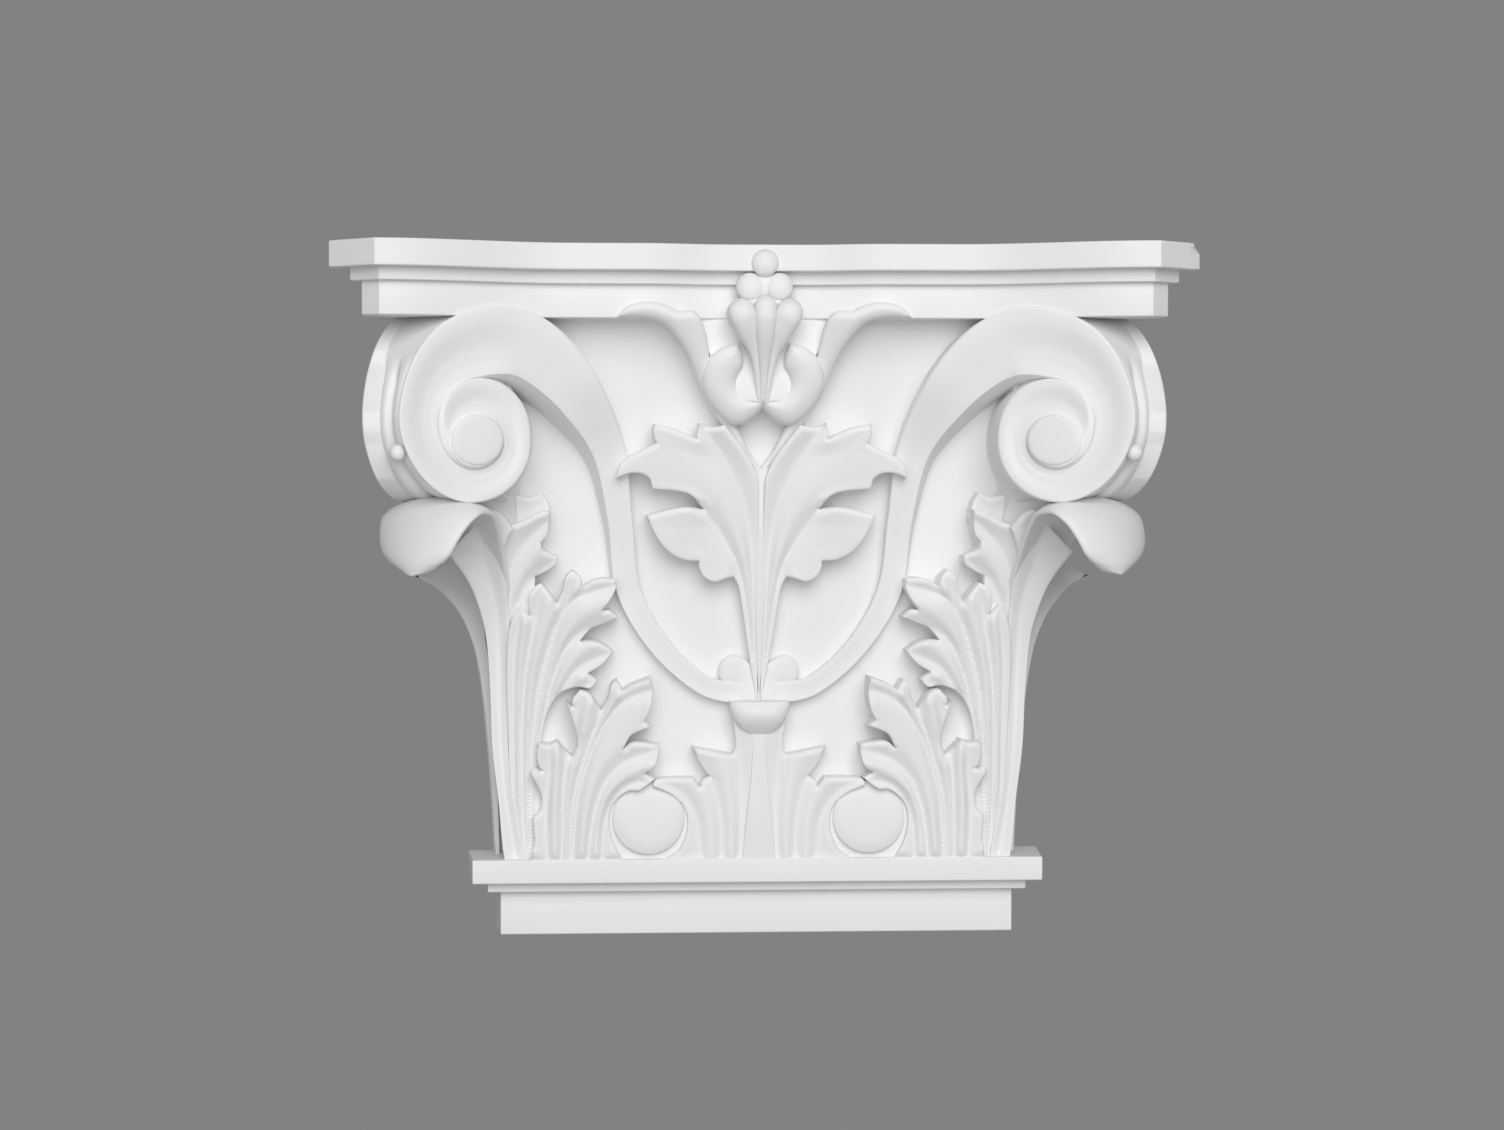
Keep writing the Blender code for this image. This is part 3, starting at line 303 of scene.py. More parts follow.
# Stems, petals and drops: rows of (across, up, half width, lift) along the midline
STEM = ((0, 31.5, 0.1, 6.5), (0, 40, 0.8, 7), (0, 48, 1.3, 7.5), (0, 60, 1.7, 8), (0, 73, 1.7, 8.5))
SPEAR = ((0, 0, 3.9, 6.7), (0, 8, 2.9, 8.8), (0, 17, 1.8, 9.9), (0, 28, 1.4, 10.9))
MIDDLE_DROP = ((0, 84.8, 0.6, 15), (0, 91, 1.0, 18), (0, 97.2, 2.1, 22), (0, 101, 2.6, 22.5),
               (0, 104, 2.2, 22))
SIDE_DROP = ((-0.8, 84.4, 0.5, 14.5), (-2.0, 92.5, 0.9, 18), (-4.0, 97.5, 2.3, 21),
             (-5.4, 100.6, 3.1, 21.5), (-6.1, 103.4, 2.8, 21))

# The volute band from the calyx up to the corner: (across, up, half width, depth %)
VOLUTE_RISE = ((-4.0, 31.0, 2.6, 32.5), (-13.2, 32.5, 2.3, 33), (-23.8, 39.9, 2.5, 34.5),
               (-31.3, 50.3, 2.9, 37), (-33.7, 63.4, 3.3, 42.5), (-36.8, 75.9, 4.6, 50),
               (-43.4, 85.3, 6.6, 61), (-50.5, 91.6, 7.9, 67.5), (-58.2, 95.2, 8.4, 74))
# Its spiral about the eye: reach of the outer edge at each quarter turn from the top,
# in hundredths of the field height. The last turn ends in the knob.
SPIRAL_REACH = (23.15, 13.1, 11.1, 9.4, 11.0, 6.5, 5.3, 4.5, 4.3, 2.7, 1.5, 1.0)
# How much less it is halfway through the first quarter
SPIRAL_DENT = 1.2
# Quarter turns from the outer edge to the inner one, those after which the band ends, and
# how many sections the rise and the spiral have
QUARTERS = 4
LAST_QUARTER = 6.9
RISE_SPOTS = 130
TURN_SPOTS = 190

# Berries and what fills in between them: (across, up, radius, lift from the abacus front)
TOP_BERRY = (0, 109.9, 3.2, 0)
SIDE_BERRY = (-3.4, 105.6, 3.3, -2.0)
BERRY_BED = (0, 106.2, 3.4, -3.2)
DROP_BED = (-2.5, 103.3, 2.4, -3.0)
BERRY_SQUASH = 0.68
ROUND_DISC = (-26.6, 7.6, 8.7, 6.2)
DISC_PROFILE = ((1, -0.01), (1, 0), (0.99, 0.0005), (0.96, 0.0008), (0.6, 0.0013), (0.02, 0.0015))
CALYX = (0, 29.6, 7.3)
CALYX_BASE = 0.0092
CALYX_HEIGHT = 0.0124
CALYX_STAND = 0.0065

# The overhanging tongue of the corner leaf: (across, up, half width, depth)
TONGUE = ((-58.0, 38, 3, 20), (-64.0, 54.0, 7, 38), (-70.0, 64.5, 12.2, 56),
          (-75.4, 66.8, 15.0, 70), (-79.2, 65.0, 15.0, 78.3), (-81.2, 61.4, 13.2, 82.4),
          (-81.9, 58.4, 11.4, 84.2), (-81.9, 56.3, 8.8, 84.8), (-81.3, 55.0, 6.0, 84.9),
          (-80.9, 54.4, 3.8, 84.9), (-80.8, 54.15, 1.8, 84.9))
TONGUE_THICKNESS = 0.0040
TONGUE_DROOP = 0.0030

# Leaf on the side face, cut off by the wall: (out, up, half width)
SIDE_LEAF = ((0.0042, -1, 9.0), (0.0062, 20, 9.0), (0.0085, 36, 9.0), (0.0125, 44, 8.4),
             (0.0190, 49, 6.6), (0.0255, 51.5, 3.6), (0.0285, 52.2, 0.8))
SIDE_LEAF_SLOPE = 0.0160

# Studio: the camera looks this many degrees to the right of and below the way to the
# wall, and its focal length is a share of the picture's width
CAMERA_PLACE = (-0.070, -1.200, 0.175 + BASE)
CAMERA_YAW = 3.31
CAMERA_PITCH = 1.98
SENSOR_WIDTH = 36.0
FOCUS_SHARE = 3246.0 / 1504.0
KEY_PLACE = (0.1, -1.9, 0.85)
KEY_SIZE = 1.3
FILL_PLACE = (-0.3, -2.2, 0.1)
FILL_SIZE = 2.0
FLOOR_REACH = 2.5


def smoothstep(low, high, value):
    """Smooth step from 0 at low to 1 at high: 3t^2 - 2t^3 of the clipped share t."""
    share = np.clip((value - low) / (high - low), 0.0, 1.0)
    return share * share * (3 - 2 * share)


def bell_depth(height):
    """Depth of the bell's front: a power curve from the ledge up to the fascia."""
    share = np.clip((height - LEDGE_TOP) / FIELD_HEIGHT, 0.0, 1.0)
    return BELL_DEPTH + BELL_FLARE * share ** FLARE_POWER


def bell_half_width(height):
    """Half width of the bell, on the same power curve as its depth."""
    share = np.clip((height - LEDGE_TOP) / FIELD_HEIGHT, 0.0, 1.0)
    return BELL_HALF + BELL_SIDE_FLARE * share ** FLARE_POWER


def field_z(up):
    """Metres above the underside, from hundredths of the carved field."""
    return LEDGE_TOP + np.asarray(up, float) / 100 * FIELD_HEIGHT


def in_metres(rows):
    """Rows of hundredths in metres: across, up and, where given, half width and depth."""
    rows = np.array(rows, float)
    whole = np.array([HALF_WIDTH, FIELD_HEIGHT, HALF_WIDTH, TOTAL_DEPTH])
    return rows / 100 * whole[:rows.shape[1]] + np.array([0, LEDGE_TOP, 0, 0])[:rows.shape[1]]


def place(x, depth, height):
    """Points from their distances across, out from the wall and up from the underside."""
    x, depth, height = np.broadcast_arrays(x, depth, height)
    return np.stack([x, -depth, height + BASE], axis=-1)


def curve_at(rows, at):
    """Rows read off a Catmull-Rom curve through the given rows, at row numbers."""
    rows = np.asarray(rows, float)
    ends = np.vstack([rows[:1], rows, rows[-1:]])
    at = np.asarray(at, float)
    span = np.clip(at.astype(int), 0, len(rows) - 2)
    t = (at - span)[:, None]
    a, b, c, d = (ends[span + k] for k in range(4))
    return (2 * b + (c - a) * t + (2 * a - 5 * b + 4 * c - d) * t ** 2
            + (3 * b - a - 3 * c + d) * t ** 3) / 2


def curve(rows, count):
    """A Catmull-Rom curve through the rows, read off at count even row numbers."""
    return curve_at(rows, np.linspace(0, len(rows) - 1, count))


def even(points, step):
    """The points of a line, moved to equal distances of about one step."""
    length = np.r_[0, np.cumsum(np.linalg.norm(np.diff(points[:, :2], axis=0), axis=1))]
    count = max(int(round(length[-1] / step)), 2)
    at = np.linspace(0, length[-1], count + 1)
    return np.stack([np.interp(at, length, points[:, k]) for k in range(points.shape[1])], axis=1)


def across_line(points):
    """Unit vectors across a flat line, to its left: its central differences turned."""
    along = np.gradient(points, axis=0)
    along /= np.linalg.norm(along, axis=1, keepdims=True)
    return np.stack([-along[:, 1], along[:, 0]], axis=1)


def skin(rings, hub=None):
    """Vertices and triangles of a closed body: rings (n, m, 3) joined in order.

    Quads join point k of a ring to point k + 1 and to the next ring, and each end is a
    fan about the mean of its ring, or about a hub (x, y) at the ring's height.
    """
    n, m = rings.shape[:2]
    ends = rings[[0, -1]].mean(1)
    if hub is not None:
        ends[:, :2] = hub
    verts = np.vstack([rings.reshape(-1, 3), ends])
    row = np.arange(n - 1)[:, None] * m
    k = np.arange(m)[None, :]
    ahead = (k + 1) % m
    quads = np.stack([row + k, row + ahead, row + m + ahead, row + m + k], axis=-1).reshape(-1, 4)
    first = np.stack([ahead[0], k[0], np.full(m, n * m)], axis=1)
    top = (n - 1) * m
    last = np.stack([top + k[0], top + ahead[0], np.full(m, n * m + 1)], axis=1)
    return verts, np.vstack([quads[:, [0, 1, 2]], quads[:, [0, 2, 3]], first, last])


def facing_out(shell):
    """The shell with its triangles turned outwards, by the sign of its volume."""
    verts, tris = shell
    a, b, c = (verts[tris[:, k]] for k in range(3))
    if np.einsum('ij,ij->i', a, np.cross(b, c)).sum() < 0:
        tris = tris[:, ::-1]
    return verts, tris


def mirrored(shell):
    """The same shell on the right: x changes sign and the triangles turn round."""
    verts, tris = shell
    return verts * (-1, 1, 1), tris[:, ::-1]


def across_corner(points):
    """Points mirrored in the upright plane that runs through the left corner."""
    return points[..., [1, 0, 2]] + np.array([-CORNER_OFFSET, CORNER_OFFSET, 0])


def to_side(shell):
    """The shell mirrored in the upright plane that runs through the left corner."""
    verts, tris = shell
    return across_corner(verts), tris[:, ::-1]


def both(shells):
    """Left shells with their right twins."""
    return list(shells) + [mirrored(shell) for shell in shells]


def gather(shells, wall):
    """One set of vertices and triangles from several shells, cut off at the wall.

    Shells that overlap there end a hair apart, so that no two faces share a plane.
    """
    verts, tris, start = [], [], 0
    for number, shell in enumerate(shells):
        points, faces = facing_out(shell)
        limit = -wall - number * WALL_STEP
        verts.append(np.stack([points[:, 0], np.minimum(points[:, 1], limit), points[:, 2]], axis=1))
        tris.append(faces + start)
        start += len(points)
    return np.vstack(verts), np.vstack(tris)


# Foot, bell and abacus

def abacus_front(x):
    """Depth of the top tier's front: flat ears, an S sweep and a recessed middle."""
    reach = np.abs(x)
    ear = HALF_WIDTH - EAR_LENGTH
    drop = HOLLOW * (1 - smoothstep(ear - SWEEP_LENGTH, ear, reach))
    recess = MIDDLE_RECESS * (1 - smoothstep(*RECESS_REACH, reach))
    return TOTAL_DEPTH - drop - recess


def abacus_side(depth):
    """How far out the top tier's side lies: an S sweep from the wall to the corner."""
    corner = TOTAL_DEPTH - CANT_WIDTH
    return HALF_WIDTH - SIDE_HOLLOW * (1 - smoothstep(0, corner * SIDE_SWEEP, depth))


def whole_plan(left):
    """A closed plan from its left half, which runs from the wall to the middle."""
    right = left[::-1] * (-1, 1)
    return np.vstack([left, right[1:] if abs(left[-1, 0]) < 1e-9 else right])


def tier_plan(setback, side_setback):
    """Half plan of one abacus tier: hollow side, cant across the corner, hollow front."""
    cant_x = HALF_WIDTH - CANT_WIDTH - (CANT_STEP if setback else 0)
    cant_depth = TOTAL_DEPTH - setback
    outer_x = HALF_WIDTH - side_setback
    outer_depth = cant_depth - (outer_x - cant_x)
    depth = np.linspace(0, outer_depth, 48)
    side = np.stack([-(abacus_side(depth) - side_setback), depth], axis=1)
    side[-1, 0] = -outer_x
    share = np.linspace(0, 1, 8)[1:-1, None]
    cant = side[-1] * (1 - share) + np.array([-cant_x, cant_depth]) * share
    x = -cant_x * (1 - np.linspace(0, 1, 140))
    front = np.stack([x, abacus_front(x) - setback], axis=1)
    return np.vstack([side, cant, front])


def block(plan, levels, rounding):
    """An upright block: its plan at each height, drawn in at both ends on an arc.

    The plan's points move inwards, along the mean normal of their two sides, by
    r (1 - cos a) while the height moves by r (1 - sin a).
    """
    ahead = np.roll(plan, -1, axis=0) - plan
    ahead /= np.maximum(np.linalg.norm(ahead, axis=1, keepdims=True), 1e-9)
    normal = np.stack([ahead[:, 1], -ahead[:, 0]], axis=1)
    before = np.roll(normal, 1, axis=0)
    inward = normal + before
    inward /= np.maximum((inward * normal).sum(1, keepdims=True), 0.3)
    angle = np.linspace(0, np.pi / 2, 5)
    low, high = levels[0], levels[-1]
    steps = [(rounding * (1 - np.sin(a)), low + rounding * (1 - np.cos(a))) for a in angle]
    steps += [(0.0, level) for level in levels[1:-1]]
    steps += [(rounding * (1 - np.cos(a)), high - rounding * (1 - np.sin(a))) for a in angle]
    rings = [place(plan[:, 0] + inward[:, 0] * inset, plan[:, 1] + inward[:, 1] * inset, height)
             for inset, height in steps]
    return skin(np.stack(rings), (0, -PLAN_HUB))


def foot_plan(half_width, depth):
    """Half plan of a block of the foot, splayed towards the wall."""
    share = np.linspace(0, 1, 6)[:, None]
    side = np.array([-half_width - FOOT_DRAFT, 0]) * (1 - share) \
        + np.array([-half_width, depth]) * share
    x = -half_width * (1 - np.linspace(0, 1, 40)[1:])
    return np.vstack([side, np.stack([x, np.full(len(x), depth)], axis=1)])


def bell_body():
    """The bell: rounded corners in plan, and a power curve up to the fascia."""
    height = np.linspace(LEDGE_TOP - SINK, FASCIA_BOTTOM + SINK, 60)[:, None]
    half, depth = bell_half_width(height), bell_depth(height)
    angle = np.linspace(0, np.pi / 2, 9)[None, :]
    corner_x = -half + BELL_CORNER * (1 - np.cos(angle))
    corner_d = depth - BELL_CORNER * (1 - np.sin(angle))
    share = np.linspace(0, 1, 30)[None, 1:-1]
    front_x = corner_x[:, -1:] * (1 - 2 * share)
    x = np.hstack([-half, corner_x, front_x, -corner_x[:, ::-1], half])
    d = np.hstack([0 * half, corner_d, depth + 0 * front_x, corner_d[:, ::-1], 0 * half])
    return skin(place(x, d, height))


def chip_corner(shell, width, height):
    """The shell with its top right corner broken off along a sloping plane."""
    verts, tris = shell
    top = BASE + TOTAL_HEIGHT
    limit = HALF_WIDTH - width * (1 - (top - verts[:, 2]) / height)
    verts = verts.copy()
    verts[:, 0] = np.minimum(verts[:, 0], np.where(verts[:, 2] > top - height, limit, HALF_WIDTH))
    return verts, tris


def body_shells(sizes):
    """Neck, fillet, ledge, bell and the three tiers of the abacus."""
    soft = sizes.edge_rounding
    overlap = SINK / 3
    foot = ((NECK_HALF, NECK_DEPTH, 0, NECK_TOP + overlap),
            (NECK_HALF + FILLET_STEP, NECK_DEPTH + FILLET_STEP, NECK_TOP, FILLET_TOP + overlap),
            (LEDGE_HALF, LEDGE_DEPTH, FILLET_TOP, LEDGE_TOP))
    tiers = ((FASCIA_SETBACK, FASCIA_SIDE_SETBACK, (FASCIA_BOTTOM, FASCIA_TOP + overlap)),
             (FILLET_SETBACK, FILLET_SIDE_SETBACK, (FASCIA_TOP, TOP_TIER_BOTTOM + overlap)),
             (0, 0, np.linspace(TOP_TIER_BOTTOM, TOTAL_HEIGHT, 8)))
    foot = [block(whole_plan(foot_plan(half, depth)), (low, high), soft)
            for half, depth, low, high in foot]
    tiers = [block(whole_plan(tier_plan(front, side)), levels, soft)
             for front, side, levels in tiers]
    tiers[-1] = chip_corner(tiers[-1], sizes.chip_width, sizes.chip_height)
    return foot + [bell_body()] + tiers


# Leaves

def to_segments(spots, line):
    """Distance from each spot to a line of points, and the share of its length there."""
    start, run = line[:-1], np.diff(line, axis=0)
    size = np.maximum((run ** 2).sum(1), 1e-18)
    share = np.clip(((spots[:, None] - start) * run).sum(2) / size, 0, 1)
    reach = np.linalg.norm(spots[:, None] - start - run * share[..., None], axis=2)
    near = reach.argmin(1)
    rows = np.arange(len(spots))
    length = np.r_[0, np.cumsum(np.sqrt(size))]
    along = (length[near] + share[rows, near] * np.sqrt(size)[near]) / length[-1]
    return reach[rows, near], along, near


def inside(spots, line):
    """Whether each spot lies inside a closed line: an odd number of crossings."""
    start, end = line[:-1], line[1:]
    x, z = spots[:, 0:1], spots[:, 1:2]
    straddles = (start[:, 1] > z) != (end[:, 1] > z)
    rise = np.where(end[:, 1] == start[:, 1], 1.0, end[:, 1] - start[:, 1])
    meet = start[:, 0] + (z - start[:, 1]) / rise * (end[:, 0] - start[:, 0])
    return (straddles & (meet > x)).sum(1) % 2 == 1


def outline_line(runs, step):
    """Closed outline in metres: each run is smooth and starts where the last ended."""
    parts = []
    corner = runs[-1][-1]
    for run in runs:
        rows = in_metres(([corner] if corner != run[0] else []) + list(run))
        parts.append(even(curve(rows, 24 * (len(rows) - 1) + 1), step)[1:])
        corner = run[-1]
    return np.vstack(parts)


def leaf_depth(spots, form, veins, rim, low, high, sizes):
    """Depth of a leaf's face over its spots.

    Bell + a lift that grows as a power of the height + the gutters: with d1 and d2 the
    distances to the two nearest veins and D that to the rim, s = the larger of
    2 d1 / (d1 + d2) and d1 / (d1 + D), the face rises by gutter (a + a^2) / 2 with
    a = sin(90 deg s) from a vein to a ridge, and by less where veins meet. The tips
    curl out by the fifth power of the share along the veins. Within the fold width of
    an upper rim the face falls again, at the very rim it is rounded on an arc, and at
    the foot it stays behind the ledge's face. A plate without veins is a pillow: it
    falls by h (1 - sqrt(1 - t^2)) at the share t of the pillow width left to the rim.
    """
    z = spots[:, 1]
    first_lift, last_lift = form['lift']
    rise = np.clip((z - low) / (high - low), 0, 1) ** form['power']
    depth = bell_depth(z) + (first_lift + (last_lift - first_lift) * rise) / 100 * TOTAL_DEPTH
    edge, _, near = to_segments(spots, rim)
    if not veins:
        share = 1 - np.clip(edge / form['pillow'], 0, 1)
        return depth - form['gutter'] * (1 - np.sqrt(1 - share ** 2))
    found = [to_segments(spots, vein) for vein in veins]
    reach = np.stack([item[0] for item in found])
    along = np.stack([item[1] for item in found])
    ordered = np.sort(reach, axis=0)
    first = ordered[0]
    second = ordered[1] if len(veins) > 1 else np.full(len(spots), 1.0)
    share = np.maximum(first / (first + edge + 1e-6), 2 * first / (first + second + 1e-6))
    swell = np.sin(np.pi / 2 * np.clip(share, 0, 1))
    room = np.clip((first + np.minimum(second, edge)) / GUTTER_ROOM, 0, 1)
    depth += form['gutter'] * sizes.gutter_scale * room * (swell + swell ** 2) / 2
    weight = 1 / (reach ** 2 + VEIN_BLUR ** 2)
    depth += sizes.tip_curl * ((along * weight).sum(0) / weight.sum(0)) ** 5
    run = np.diff(rim, axis=0)
    upward = -run[near, 0] / np.linalg.norm(run[near], axis=1) * turn_of(rim)
    fold = np.clip((upward - FOLD_START) / FOLD_SPAN, 0, 1)
    depth -= sizes.fold_depth * fold * (1 - np.clip(edge / sizes.fold_width, 0, 1))
    clear = LEDGE_DEPTH - form.get('foot', FOOT_CLEARANCE)
    depth = np.minimum(depth, clear + FOOT_SLOPE * np.maximum(z - LEDGE_TOP, 0))
    soft = sizes.leaf_rounding
    inner = np.clip(soft - edge, 0, soft)
    return depth - (soft - np.sqrt(soft ** 2 - inner ** 2))


def turn_of(line):
    """1 where a closed line runs anticlockwise and -1 where it runs clockwise."""
    ahead = np.roll(line, -1, axis=0)
    return np.sign((line[:, 0] * ahead[:, 1] - line[:, 1] * ahead[:, 0]).sum())


def flat_triangles(spots, count):
    """Triangles of flat spots inside the outline that the first count spots make.

    Gives the points, the triangles and the numbers of the outline's points.
    """
    flat = [tuple(spot) for spot in spots]
    points, _, faces, origin, _, _ = delaunay_2d_cdt(flat, [], [list(range(count))], 1, 1e-8)
    number = {old: new for new, olds in enumerate(origin) for old in olds if old < count}
    return (np.array([tuple(point) for point in points]), np.array(faces, int),
            np.array([number[k] for k in range(count)]))


def turned(points, tris, way):
    """Flat triangles turned so that their area has the sign of the way."""
    a, b, c = (points[tris[:, k]] for k in range(3))
    return tris if np.cross(b - a, c - a).sum() * way > 0 else tris[:, ::-1]


def leaf_shell(form, sizes):
    """A leaf as one closed plate: its face, a wall back to the bell and an underside.

    The face is a triangulation of the outline, of rings just inside it and of a
    honeycomb of spots, each placed by leaf_depth.
    """
    step = sizes.leaf_grain
    rim = outline_line(form['outline'], step * 0.9)
    closed = np.vstack([rim, rim[:1]])
    veins = [even(curve(in_metres(rows), 12 * len(rows)), 1.5 * step) for rows in form['veins']]
    low, high = rim.min(0), rim.max(0)
    pitch = step * np.sqrt(3) / 2
    gx, gz = np.meshgrid(np.arange(low[0], high[0], step), np.arange(low[1], high[1], pitch))
    gx[1::2] += step / 2
    grid = np.stack([gx.ravel(), gz.ravel()], axis=1)
    grid = grid[inside(grid, closed)]
    reach = to_segments(grid, closed)[0]
    spots = [rim, grid[reach > sizes.leaf_rounding + step * 0.55]]
    side = across_line(closed)[:-1]
    width, shares = (sizes.leaf_rounding, (0.3, 1.0)) if veins else (form['pillow'], (0.04, 0.16))
    for share in shares:
        for turn in (1, -1):
            ring = rim + side * share * width * turn
            ring = ring[inside(ring, closed)]
            reach = to_segments(ring, closed)[0]
            spots.append(ring[reach > share * width * 0.97])
    points, face, border = flat_triangles(np.vstack(spots), len(rim))
    under, back, below = flat_triangles(rim, len(rim))
    depth = leaf_depth(points, form, veins, closed, low[1], high[1], sizes)
    top = place(points[:, 0], depth, points[:, 1])
    foot = place(under[:, 0], bell_depth(under[:, 1]) - SINK, under[:, 1])
    below = below + len(top)
    ahead = np.roll(np.arange(len(rim)), -1)
    wall = np.vstack([np.stack([border, below, below[ahead]], axis=1),
                      np.stack([border, below[ahead], border[ahead]], axis=1)])
    if turn_of(rim) < 0:
        wall = wall[:, ::-1]
    tris = [turned(points, face, 1), turned(under, back, -1) + len(top), wall]
    return np.vstack([top, foot]), np.vstack(tris)


# Stems, drops and round forms

def blade(rows, bulge, flat=False):
    """A rounded stem or drop carried along its midline over the bell.

    The section is half a superellipse: across = h cos a, rise = bulge h sin(a)^0.9, on
    walls that go back to the bell. Unless the ends are flat, the half width h shrinks
    there on an arc.
    """
    line = even(curve(in_metres(rows), 30 * (len(rows) - 1) + 1), BLADE_STEP)
    xz, half = line[:, :2], line[:, 2]
    length = np.r_[0, np.cumsum(np.linalg.norm(np.diff(xz, axis=0), axis=1))]
    for reach in () if flat else (length, length[-1] - length):
        span = max(half[reach.argmin()], 0.3 * MM)
        share = np.clip(reach / span, 0.02, 1)
        half = half * np.sqrt(1 - (1 - share) ** 2)
    half = np.maximum(half, 0.12 * MM)[:, None]
    side = across_line(xz)
    angle = np.linspace(0, np.pi, 19)[None, :]
    across = half * np.cos(angle)
    depth = bell_depth(xz[:, 1:2]) + line[:, 3:4]
    face = place(xz[:, 0:1] + side[:, 0:1] * across,
                 depth + bulge * half * np.sin(angle) ** 0.9,
                 xz[:, 1:2] + side[:, 1:2] * across)
    feet = []
    for share in (-BLADE_DRAFT, BLADE_DRAFT):
        foot_x, foot_z = (xz[:, k:k + 1] + side[:, k:k + 1] * half * share for k in (0, 1))
        feet.append(place(foot_x, bell_depth(foot_z) - SINK, foot_z))
    return skin(np.concatenate([face] + feet, axis=1))


def sphere(centre, radius, squash=1.0, rows=20, columns=32):
    """A sphere at (across, depth, height), flattened along the way out by its squash."""
    tilt = np.linspace(0.06, np.pi - 0.06, rows)[:, None]
    turn = np.linspace(0, 2 * np.pi, columns, endpoint=False)[None, :]
    return skin(place(centre[0] + radius * np.sin(tilt) * np.cos(turn),
                      centre[1] + radius * squash * np.cos(tilt),
                      centre[2] + radius * np.sin(tilt) * np.sin(turn)))


def berry(row, squash=BERRY_SQUASH):
    """A flattened sphere on the front of the abacus."""
    x, z, radius, lift = in_metres([row])[0]
    return sphere((x, abacus_front(x) + lift, z), radius, squash)


def boss(x, z, radius, depth_at, profile, count):
    """A round boss: a profile of (share of radius, rise) turned about the way out."""
    share, rise = np.array(profile).T[:, :, None]
    turn = np.linspace(0, 2 * np.pi, count, endpoint=False)[None, :]
    across = x + radius * share * np.cos(turn)
    return skin(place(across, depth_at(across) + rise, z + radius * share * np.sin(turn)))


def round_disc():
    """The disc beside the middle leaf."""
    x, z, radius, lift = in_metres([ROUND_DISC])[0]
    return boss(x, z, radius, lambda across: bell_depth(z) + lift, DISC_PROFILE, 64)


def calyx_cup():
    """The cup under the stem: a bowl below a flat top, fullest a third of the way down.

    At the share s down, the half width is w sqrt(1 - s^2) and the stand is
    h sin(180 deg (0.26 + 0.74 s)).
    """
    x, z, wide = in_metres([CALYX])[0]
    down = np.sin(np.linspace(0, np.pi / 2, 24))[:, None] * 0.995
    turn = np.linspace(0, np.pi, 41)[None, :]
    half = wide * np.sqrt(1 - down ** 2)
    stand = CALYX_STAND * np.sin(np.pi * (0.26 + 0.74 * down))
    level = z - CALYX_HEIGHT * down
    bell = bell_depth(z)
    face = place(x + half * np.cos(turn), bell + CALYX_BASE + stand * np.sin(turn) ** 0.8, level)
    back = [place(x + half * share, bell - SINK, level) for share in (-1, 1)]
    return skin(np.concatenate([face] + back, axis=1))


# Volutes

def disc_depth(x):
    """Depth of the plane of a front volute's face, which rises to the corner."""
    return VOLUTE_EYE_DEPTH + VOLUTE_SLOPE * (in_metres([EYE])[0, 0] - x)


def spiral_reach(quarter):
    """Reach of the spiral's outer edge from the eye, at quarter turns from the top.

    A smooth curve through the rows, less the dent times sin(180 deg q) squared over the
    first quarter.
    """
    quarter = np.atleast_1d(quarter)
    rows = np.array(SPIRAL_REACH)[:, None]
    dent = SPIRAL_DENT * np.sin(np.pi * np.clip(quarter, 0, 1)) ** 2
    return (curve_at(rows, quarter)[:, 0] - dent) / 100 * FIELD_HEIGHT


def about_eye(quarter, reach):
    """Points across and up at a reach from the eye, at quarter turns from the top."""
    angle = np.pi / 2 * (1 + quarter)
    x, z = in_metres([EYE])[0]
    return x + reach * np.cos(angle), z + reach * np.sin(angle)


def volute_floor(x, z):
    """Depth that the foot of the band goes back to, inside bell or corner, and behind the
    face of the other volute on the same corner."""
    other = (-x - CORNER_OFFSET + FACE_CLEARANCE - disc_depth(-CORNER_OFFSET)) / VOLUTE_SLOPE
    return np.maximum(np.maximum(bell_depth(z) - SINK, disc_depth(x) - VOLUTE_WALL), other)


def spiral_rows(quarter):
    """Sections of the spiral: (x, z, half width, depth), and the way to the eye."""
    quarter = np.asarray(quarter)
    outer, inner = spiral_reach(quarter), spiral_reach(quarter + QUARTERS)
    x, z = about_eye(quarter, (outer + inner) / 2)
    angle = np.pi / 2 * (1 + quarter)
    side = -np.stack([np.cos(angle), np.sin(angle)], axis=1)
    return np.stack([x, z, (outer - inner) / 2, disc_depth(x)], axis=1), side


def volute_path():
    """Sections of the whole band, the way to its inner edge and the quarter of each.

    The rise from the calyx runs into the first section of the spiral, and over its last
    fifth the way across turns to straight down.
    """
    start, _ = spiral_rows([0.0, 0.25])
    rows = np.vstack([in_metres(VOLUTE_RISE), start])
    last = len(VOLUTE_RISE)
    path = curve_at(rows, np.linspace(0, last, RISE_SPOTS))
    ahead = curve_at(rows, np.linspace(0, last + 0.5, RISE_SPOTS + 6))
    side = across_line(ahead[:, :2])[:RISE_SPOTS]
    blend = smoothstep(0.80, 1.0, np.linspace(0, 1, RISE_SPOTS))[:, None]
    side = side * (1 - blend) + np.array([0, -1.0]) * blend
    side /= np.linalg.norm(side, axis=1, keepdims=True)
    around = np.linspace(0, LAST_QUARTER, TURN_SPOTS)[1:]
    turn, turn_side = spiral_rows(around)
    quarter = np.r_[np.zeros(RISE_SPOTS), around][:, None]
    return np.vstack([path, turn]), np.vstack([side, turn_side]), quarter


